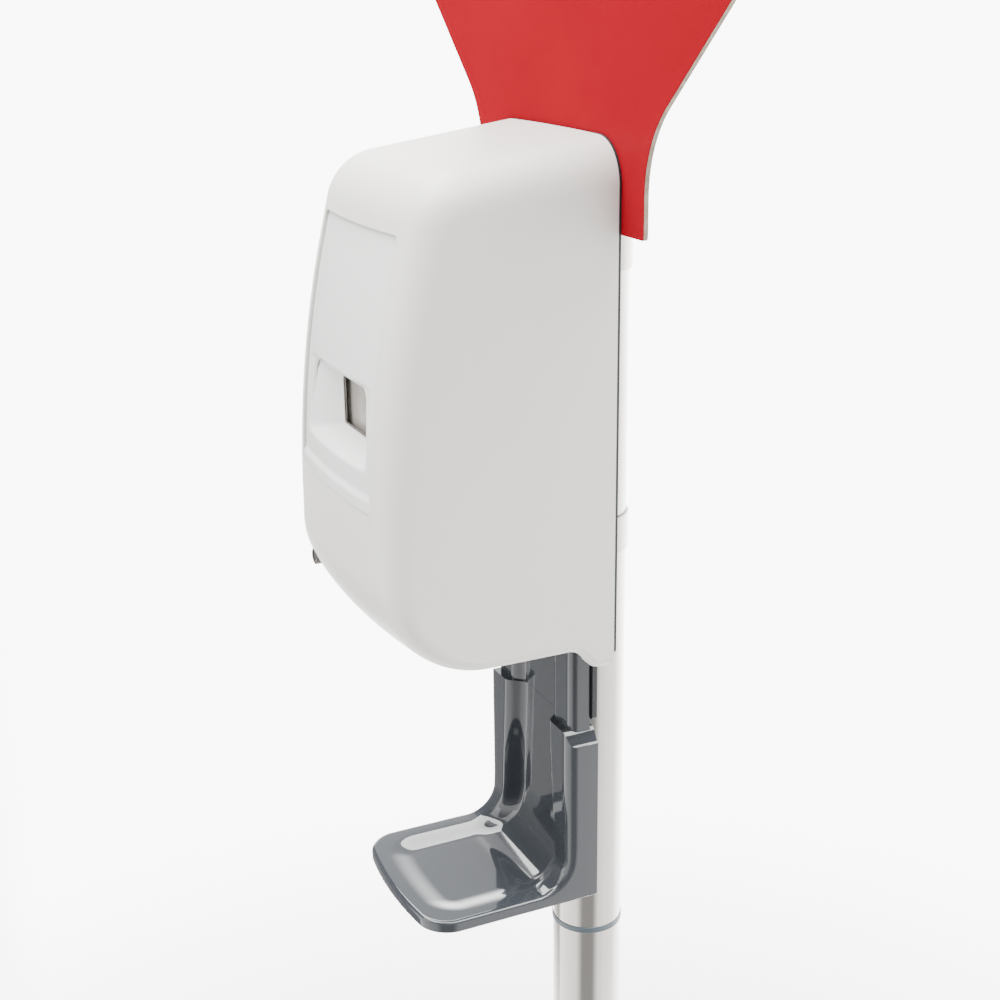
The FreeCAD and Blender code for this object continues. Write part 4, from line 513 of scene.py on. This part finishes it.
def scoop_share(s, x, z):
    """0 at the scoop's mouth, 1 at its floor round the sight window."""
    runs = (
        (s.scoop_half - abs(x)) / (s.scoop_half - s.window_half),
        (s.scoop_top - z) / (s.scoop_top - s.window_top),
        (z - s.scoop_bottom) / (s.window_bottom - s.scoop_bottom),
    )
    lack = sum(max(1 - run, 0.0) ** 6 for run in runs) ** (1 / 6)
    return soft_clamp(1 - lack)


def build_front_inlay():
    """Glossy inlay in the cover: bowed sheet with the scoop moulded in, open at the sight window."""
    s = Sizes(bpy.context.scene.stand_inlay)
    hole_half, hole_low, hole_high = s.window_half - 1.0, s.window_bottom + 1.0, s.window_top - 1.0
    rim = (0.0, 0.12, 0.4)
    xs = spaced([-s.half_width + a for a in rim] + [-s.scoop_half, -s.window_half, -hole_half, hole_half,
                                                    s.window_half, s.scoop_half]
                + [s.half_width - a for a in reversed(rim)], 0.8)
    zs = spaced([s.bottom + a for a in rim] + [s.bottom + s.bevel, s.scoop_bottom, s.window_bottom, hole_low,
                                               hole_high, s.window_top, s.scoop_top]
                + [s.top - a for a in reversed(rim)], 0.8)
    wide = len(xs)
    front = []
    for z in zs:
        near = min(z - s.bottom, s.top - z)
        narrow = 3.0 - math.sqrt(max(9.0 - (3.0 - near) ** 2, 0.0)) if near < 3 else 0.0
        slope = smooth((z - s.bottom - s.bevel + 3.6) / 3.6)
        for x0 in xs:
            x = x0 * (s.half_width - narrow) / s.half_width
            y = face_y(x, z) + s.sunk * slope + 0.05
            y += (-s.scoop_floor - y) * scoop_share(s, x, z) + round_off(min(near, s.half_width - abs(x0)), 0.4)
            front.append((x, y, z))
    back = []
    for x, y, z in front:
        steep = 1 + 5 * abs(scoop_share(s, x + 0.5, z) - scoop_share(s, x - 0.5, z))
        plain = face_y(x, z) + 1.9
        back.append((x, min(max(y + s.thickness * steep, plain), max(plain, -s.scoop_floor + 2.6)), z))
    count = len(front)
    cells = {}
    for r in range(len(zs) - 1):
        for c in range(wide - 1):
            if abs(xs[c] + xs[c + 1]) / 2 < hole_half and hole_low < (zs[r] + zs[r + 1]) / 2 < hole_high:
                continue
            cells[r, c] = (r * wide + c, r * wide + c + 1, (r + 1) * wide + c + 1, (r + 1) * wide + c)
    faces = list(cells.values()) + [tuple(count + k for k in reversed(cell)) for cell in cells.values()]
    for (r, c), (a, b, e, f) in cells.items():
        for step, pair in (((-1, 0), (a, b)), ((1, 0), (e, f)), ((0, -1), (f, a)), ((0, 1), (b, e))):
            if (r + step[0], c + step[1]) not in cells:
                faces.append((pair[1], pair[0], count + pair[0], count + pair[1]))
    return piece("glossy_front_inlay", front + back, faces, "panel", "cover", "front_panel", smooth_angle=40.0)


def bead_tree():
    """Geometry nodes: a round bead swept along a rounded rectangle that lies in the XZ plane."""
    tree = bpy.data.node_groups.new("bead round a rectangle", "GeometryNodeTree")
    sockets = {}
    for name, kind in (("Width", "Float"), ("Height", "Float"), ("Corner", "Float"), ("Bead", "Float"),
                       ("Place", "Vector"), ("Material", "Material")):
        sockets[name] = tree.interface.new_socket(name, in_out="INPUT", socket_type="NodeSocket" + kind).identifier
    tree.interface.new_socket("Geometry", in_out="OUTPUT", socket_type="NodeSocketGeometry")
    given = add(tree, "NodeGroupInput").outputs
    path = add(tree, "GeometryNodeCurvePrimitiveQuadrilateral",
               [("Width", given["Width"]), ("Height", given["Height"])]).outputs["Curve"]
    path = add(tree, "GeometryNodeFilletCurve", [("Curve", path), ("Radius", given["Corner"])], {"Count": 8},
               mode="POLY").outputs["Curve"]
    path = add(tree, "GeometryNodeTransform", [("Geometry", path), ("Translation", given["Place"])],
               {"Rotation": (math.pi / 2, 0, 0)}).outputs["Geometry"]
    profile = add(tree, "GeometryNodeCurvePrimitiveCircle", [("Radius", given["Bead"])], {"Resolution": 12})
    sweep = add(tree, "GeometryNodeCurveToMesh",
                [("Curve", path), ("Profile Curve", profile.outputs["Curve"])]).outputs["Mesh"]
    whole = add(tree, "GeometryNodeRealizeInstances", [("Geometry", sweep)]).outputs["Geometry"]
    soft = add(tree, "GeometryNodeSetShadeSmooth", [("Geometry", whole)]).outputs["Geometry"]
    dressed = add(tree, "GeometryNodeSetMaterial", [("Geometry", soft), ("Material", given["Material"])])
    add(tree, "NodeGroupOutput", [("Geometry", dressed.outputs["Geometry"])])
    return tree, sockets


def build_window_seal():
    """Thin bead round the sight window, in the floor of the scoop."""
    s = Sizes(bpy.context.scene.stand_inlay)
    tree, sockets = bead_tree()
    carrier = bpy.data.objects.new("seal carrier", bpy.data.meshes.new("seal carrier"))
    bpy.context.scene.collection.objects.link(carrier)
    modifier = carrier.modifiers.new("bead", "NODES")
    modifier.node_group = tree
    inset = 0.9
    values = {
        "Width": 2 * (s.window_half - inset) * MM,
        "Height": (s.window_top - s.window_bottom - 2 * inset) * MM,
        "Corner": 2.6 * MM,
        "Bead": s.seal / 2 * MM,
        "Place": (0.0, -s.scoop_floor * MM, (s.window_top + s.window_bottom) / 2 * MM + JOINT),
        "Material": LOOKS["seal"],
    }
    for name, value in values.items():
        modifier[sockets[name]] = value
    bpy.context.view_layer.update()
    evaluated = carrier.evaluated_get(bpy.context.evaluated_depsgraph_get())
    mesh = bpy.data.meshes.new_from_object(evaluated)
    mesh.name = "window_seal"
    bpy.data.objects.remove(carrier)
    return place(bpy.data.objects.new("window_seal", mesh), "cover", like="sight_window")


def build_lock():
    """Lock barrel with a bright, slightly domed face and keyway, and the dark rim round it."""
    s = Sizes(bpy.context.scene.stand_lock)
    around = 48

    def turned(profile):
        points = [(-s.side + radius * math.cos(math.tau * k / around), y,
                   s.height + radius * math.sin(math.tau * k / around)) for radius, y in profile for k in range(around)]
        faces = []
        for ring in range(len(profile) - 1):
            for k in range(around):
                low, high = ring * around, (ring + 1) * around
                faces.append((low + k, low + (k + 1) % around, high + (k + 1) % around, high + k))
        return points, faces

    seat = s.face - 3.4
    rim = [(s.rim, -seat), (s.rim, -s.face + 0.35), (s.rim - 0.1, -s.face + 0.1), (s.rim - 0.3, -s.face),
           (s.barrel + 0.12, -s.face + 0.1), (s.barrel + 0.1, -seat)]
    points, faces = turned(rim + rim[:1])
    piece("lock_rim", points, faces, "seal", "cover", like="lock_barrel", smooth_angle=40.0)

    key_half, key_high, key_deep = 0.55, 1.9, 1.6
    front = -s.face + 0.45
    points, faces = turned([(s.barrel - 0.25, -s.rear), (s.barrel, -s.rear - 0.25), (s.barrel, front + 0.3),
                            (s.barrel - 0.1, front + 0.08), (s.barrel - 0.3, front)])
    faces.append(tuple(range(around)))
    outer = [4 * around + k for k in range(around)]
    first = len(points)
    for y in (front - 0.05, front + key_deep):
        for k in range(around):
            angle = math.tau * k / around
            grow = min(key_half / max(abs(math.cos(angle)), 1e-6), key_high / max(abs(math.sin(angle)), 1e-6))
            points.append((-s.side + grow * math.cos(angle), y, s.height + grow * math.sin(angle)))
    for k in range(around):
        n = (k + 1) % around
        faces.append((outer[k], outer[n], first + n, first + k))
        faces.append((first + k, first + n, first + around + n, first + around + k))
    faces.append(tuple(first + around + k for k in range(around)))
    return piece("keyed_lock_barrel", points, faces, "chrome", "lock", "lock_barrel", smooth_angle=40.0)


# Sign.

def build_sign():
    """Laminated board: red faces, bare fibreboard round the edge, corners of the laminate just broken."""
    group = bpy.context.scene.stand_sign
    s = Sizes(group)
    shoulder = s.flare + (s.half_width - s.neck_half) / math.tan(group.slope)
    side = [(s.neck_half, s.bottom, 1.5), (s.neck_half, s.flare, 52.0), (s.half_width, shoulder, 40.0),
            (s.half_width, s.top, 24.0)]
    outline = [Vector(p) for p in rounded(side + [(-x, z, radius) for x, z, radius in reversed(side)], 3.0)]
    size = len(outline)
    y0, y1 = -s.front, -s.front + s.thickness
    points = []
    for y, inset in ((y0, s.laminate), (y0 + s.laminate, 0.0), (y1 - s.laminate, 0.0), (y1, s.laminate)):
        for k, here in enumerate(outline):
            along = (outline[(k + 1) % size] - outline[k - 1]).normalized()
            points.append((here.x - along.y * inset, y, here.y + along.x * inset))
    faces = [tuple(range(size)), tuple(reversed(range(3 * size, 4 * size)))]
    for layer in range(3):
        for k in range(size):
            a, b = layer * size + k, layer * size + (k + 1) % size
            faces.append((a, b, b + size, a + size))
    sign = piece("laminated_sign", points, faces, "red", "stand", "sign_panel", smooth_angle=20.0)
    sign.data.materials.append(LOOKS["fibreboard"])
    for face in sign.data.polygons:
        if abs(face.normal.y) < 0.5:
            face.material_index = 1
    return sign


# Stage.

def area_light(name, spot, aim, size, power):
    data = bpy.data.lights.new(name, "AREA")
    data.shape = "RECTANGLE"
    data.size, data.size_y = size
    data.energy = power
    lamp = bpy.data.objects.new(name, data)
    lamp.location = spot
    lamp.rotation_euler = (Vector(aim) - Vector(spot)).to_track_quat("-Z", "Y").to_euler()
    bpy.context.scene.collection.objects.link(lamp)


def make_paper(s):
    """Pale studio paper that fades into the white surround; it stops short on the camera's side."""
    material, tree = new_material("pale studio paper")
    vector = coordinates(tree)
    fine = noise(tree, vector, 400)
    tone = ramp(tree, fine, [(0.3, linear("#f4f4f3")), (0.7, linear("#f7f7f6"))])
    shader = add(tree, "ShaderNodeBsdfPrincipled", [("Base Color", tone), ("Normal", bump(tree, fine, 0.00002))],
                 {"Roughness": 0.9, "Specular IOR Level": 0.1})
    far = add(tree, "ShaderNodeVectorMath", [(0, vector)], operation="DISTANCE")
    far.inputs[1].default_value = (-0.35, 0.15, 0.0)
    fade = add(tree, "ShaderNodeMapRange", [("Value", far.outputs["Value"])],
               {"From Min": s.paper - 0.7, "From Max": s.paper}, interpolation_type="SMOOTHSTEP")
    clear = add(tree, "ShaderNodeBsdfTransparent")
    both = add(tree, "ShaderNodeMixShader", [("Fac", fade.outputs["Result"])])
    tree.links.new(both.inputs[1], shader.outputs["BSDF"])
    tree.links.new(both.inputs[2], clear.outputs["BSDF"])
    add(tree, "ShaderNodeOutputMaterial", [("Surface", both.outputs["Shader"])])
    mesh = bpy.data.meshes.new("studio_floor")
    half = 1.8
    mesh.from_pydata([(-half, -half, 0), (half, -half, 0), (half, half, 0), (-half, half, 0)], [], [(0, 1, 2, 3)])
    mesh.materials.append(material)
    floor = bpy.data.objects.new("studio_floor", mesh)
    bpy.context.scene.collection.objects.link(floor)


def grey_stops(*stops):
    return [(place, [value, value, value, 1.0]) for place, value in stops]


def make_surround(s):
    """White below the horizon, dimmer above, with a dark bay behind the camera."""
    world = bpy.data.worlds.new("studio")
    world.use_nodes = True
    bpy.context.scene.world = world
    tree = world.node_tree
    tree.nodes.clear()
    toward = add(tree, "ShaderNodeTexCoord").outputs["Generated"]
    height = add(tree, "ShaderNodeSeparateXYZ", [("Vector", toward)]).outputs["Z"]
    flat = add(tree, "ShaderNodeVectorMath", [(0, toward)], operation="MULTIPLY")
    flat.inputs[1].default_value = (1, 1, 0)
    level = add(tree, "ShaderNodeVectorMath", [(0, flat.outputs["Vector"])], operation="NORMALIZE").outputs["Vector"]
    shade = ramp(tree, height, grey_stops((0.0, 1.0), (0.10, 1.0), (0.50, 0.20), (1.0, 0.16)))
    bays = (
        ((0.91, -0.415, 0), grey_stops((0.12, 1.0), (0.45, 0.40), (0.90, 0.28), (0.975, 0.06))),
        ((-0.91, -0.41, 0), grey_stops((0.935, 1.0), (0.967, 0.07))),
    )
    for middle, stops in bays:
        facing = add(tree, "ShaderNodeVectorMath", [(0, level)], operation="DOT_PRODUCT")
        facing.inputs[1].default_value = middle
        darker = ramp(tree, spread(tree, facing.outputs["Value"], 0.0, 1.0, -1.0, 1.0), stops)
        both = add(tree, "ShaderNodeMix", data_type="RGBA", blend_type="MULTIPLY")
        both.inputs["Factor"].default_value = 1.0
        tree.links.new(both.inputs[6], shade)
        tree.links.new(both.inputs[7], darker)
        shade = both.outputs[2]
    back = add(tree, "ShaderNodeBackground", [("Color", shade)], {"Strength": s.surround})
    add(tree, "ShaderNodeOutputWorld", [("Surface", back.outputs["Background"])])


def make_camera():
    """Camera at the photograph's place and turn."""
    theta, phi, roll = (math.radians(angle) for angle in (65.507, 18.822, 0.765))
    forward = Vector((-math.sin(theta) * math.cos(phi), math.cos(theta) * math.cos(phi), -math.sin(phi)))
    right = Vector((math.cos(theta), math.sin(theta), 0))
    down = forward.cross(right)
    right, down = right * math.cos(roll) + down * math.sin(roll), down * math.cos(roll) - right * math.sin(roll)
    data = bpy.data.cameras.new("photo_camera")
    data.sensor_width = 36
    data.lens = 36 * 1.554
    camera = bpy.data.objects.new("photo_camera", data)
    turn = Matrix((right, -down, -forward)).transposed()
    camera.matrix_world = Matrix.Translation((0.672281, -0.356814, JOINT + 0.504313)) @ turn.to_4x4()
    bpy.context.scene.collection.objects.link(camera)
    bpy.context.scene.camera = camera


# Operators, panel and registration.

class STAND_OT_dress(bpy.types.Operator):
    """Make the materials and put them on the CAD parts"""
    bl_idname = "stand.dress"
    bl_label = "Dress the CAD parts"

    def execute(self, context):
        make_looks()
        for look, names in NODE_LOOKS.items():
            for name in names:
                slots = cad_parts[name].data.materials
                slots.clear()
                slots.append(LOOKS[look])
        return {"FINISHED"}


class STAND_OT_tray(bpy.types.Operator):
    """Build the moulded drip tray"""
    bl_idname = "stand.tray"
    bl_label = "Drip tray"

    def execute(self, context):
        build_tray()
        return {"FINISHED"}


class STAND_OT_front(bpy.types.Operator):
    """Build the glossy front inlay and the bead round its sight window"""
    bl_idname = "stand.front"
    bl_label = "Front inlay"

    def execute(self, context):
        build_front_inlay()
        build_window_seal()
        return {"FINISHED"}


class STAND_OT_lock(bpy.types.Operator):
    """Build the keyed lock barrel and its rim"""
    bl_idname = "stand.lock"
    bl_label = "Lock"

    def execute(self, context):
        build_lock()
        return {"FINISHED"}


class STAND_OT_sign(bpy.types.Operator):
    """Build the laminated sign"""
    bl_idname = "stand.sign"
    bl_label = "Sign"

    def execute(self, context):
        build_sign()
        return {"FINISHED"}


class STAND_OT_stage(bpy.types.Operator):
    """Build the studio paper, surround, lights and camera"""
    bl_idname = "stand.stage"
    bl_label = "Stage"

    def execute(self, context):
        s = context.scene.stand_stage
        make_paper(s)
        make_surround(s)
        area_light("overhead", (-0.6, 0.35, 4.0), (-0.5, 0.3, 0.0), (5.0, 5.0), s.overhead)
        area_light("left_front", (-0.5, -2.8, 2.3), (0, -0.08, 1.1), (1.8, 1.8), s.key)
        area_light("right_side", (2.0, -0.5, 2.9), (0.06, -0.08, 1.1), (1.6, 1.2), s.side)
        make_camera()
        return {"FINISHED"}


class STAND_PT_panel(bpy.types.Panel):
    """Sizes, colours and pieces of the stand"""
    bl_idname = "STAND_PT_panel"
    bl_label = "Hand sanitizer stand"
    bl_space_type = "VIEW_3D"
    bl_region_type = "UI"
    bl_category = "Stand"

    def draw(self, context):
        for title, group, operator in SECTIONS:
            box = self.layout.box()
            box.label(text=title)
            settings = getattr(context.scene, group)
            for key in settings.__annotations__:
                box.prop(settings, key)
            box.operator(operator)


SECTIONS = (
    ("Materials", "stand_colours", "stand.dress"),
    ("Drip tray", "stand_tray", "stand.tray"),
    ("Front inlay", "stand_inlay", "stand.front"),
    ("Lock", "stand_lock", "stand.lock"),
    ("Sign", "stand_sign", "stand.sign"),
    ("Stage", "stand_stage", "stand.stage"),
)
GROUPS = {
    "stand_colours": StandColours,
    "stand_tray": StandTray,
    "stand_inlay": StandInlay,
    "stand_lock": StandLock,
    "stand_sign": StandSign,
    "stand_stage": StandStage,
}
OPERATORS = (STAND_OT_dress, STAND_OT_tray, STAND_OT_front, STAND_OT_lock, STAND_OT_sign, STAND_OT_stage)


def register():
    for item in (*GROUPS.values(), *OPERATORS, STAND_PT_panel):
        bpy.utils.register_class(item)
    for name, group in GROUPS.items():
        setattr(bpy.types.Scene, name, PointerProperty(type=group))


def unregister():
    for name in GROUPS:
        delattr(bpy.types.Scene, name)
    for item in reversed((*GROUPS.values(), *OPERATORS, STAND_PT_panel)):
        bpy.utils.unregister_class(item)


def main():
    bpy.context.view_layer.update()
    register()
    bpy.ops.stand.dress()
    bpy.ops.stand.tray()
    bpy.ops.stand.front()
    bpy.ops.stand.lock()
    bpy.ops.stand.sign()
    bpy.ops.stand.stage()


if __name__ == "__main__":
    main()
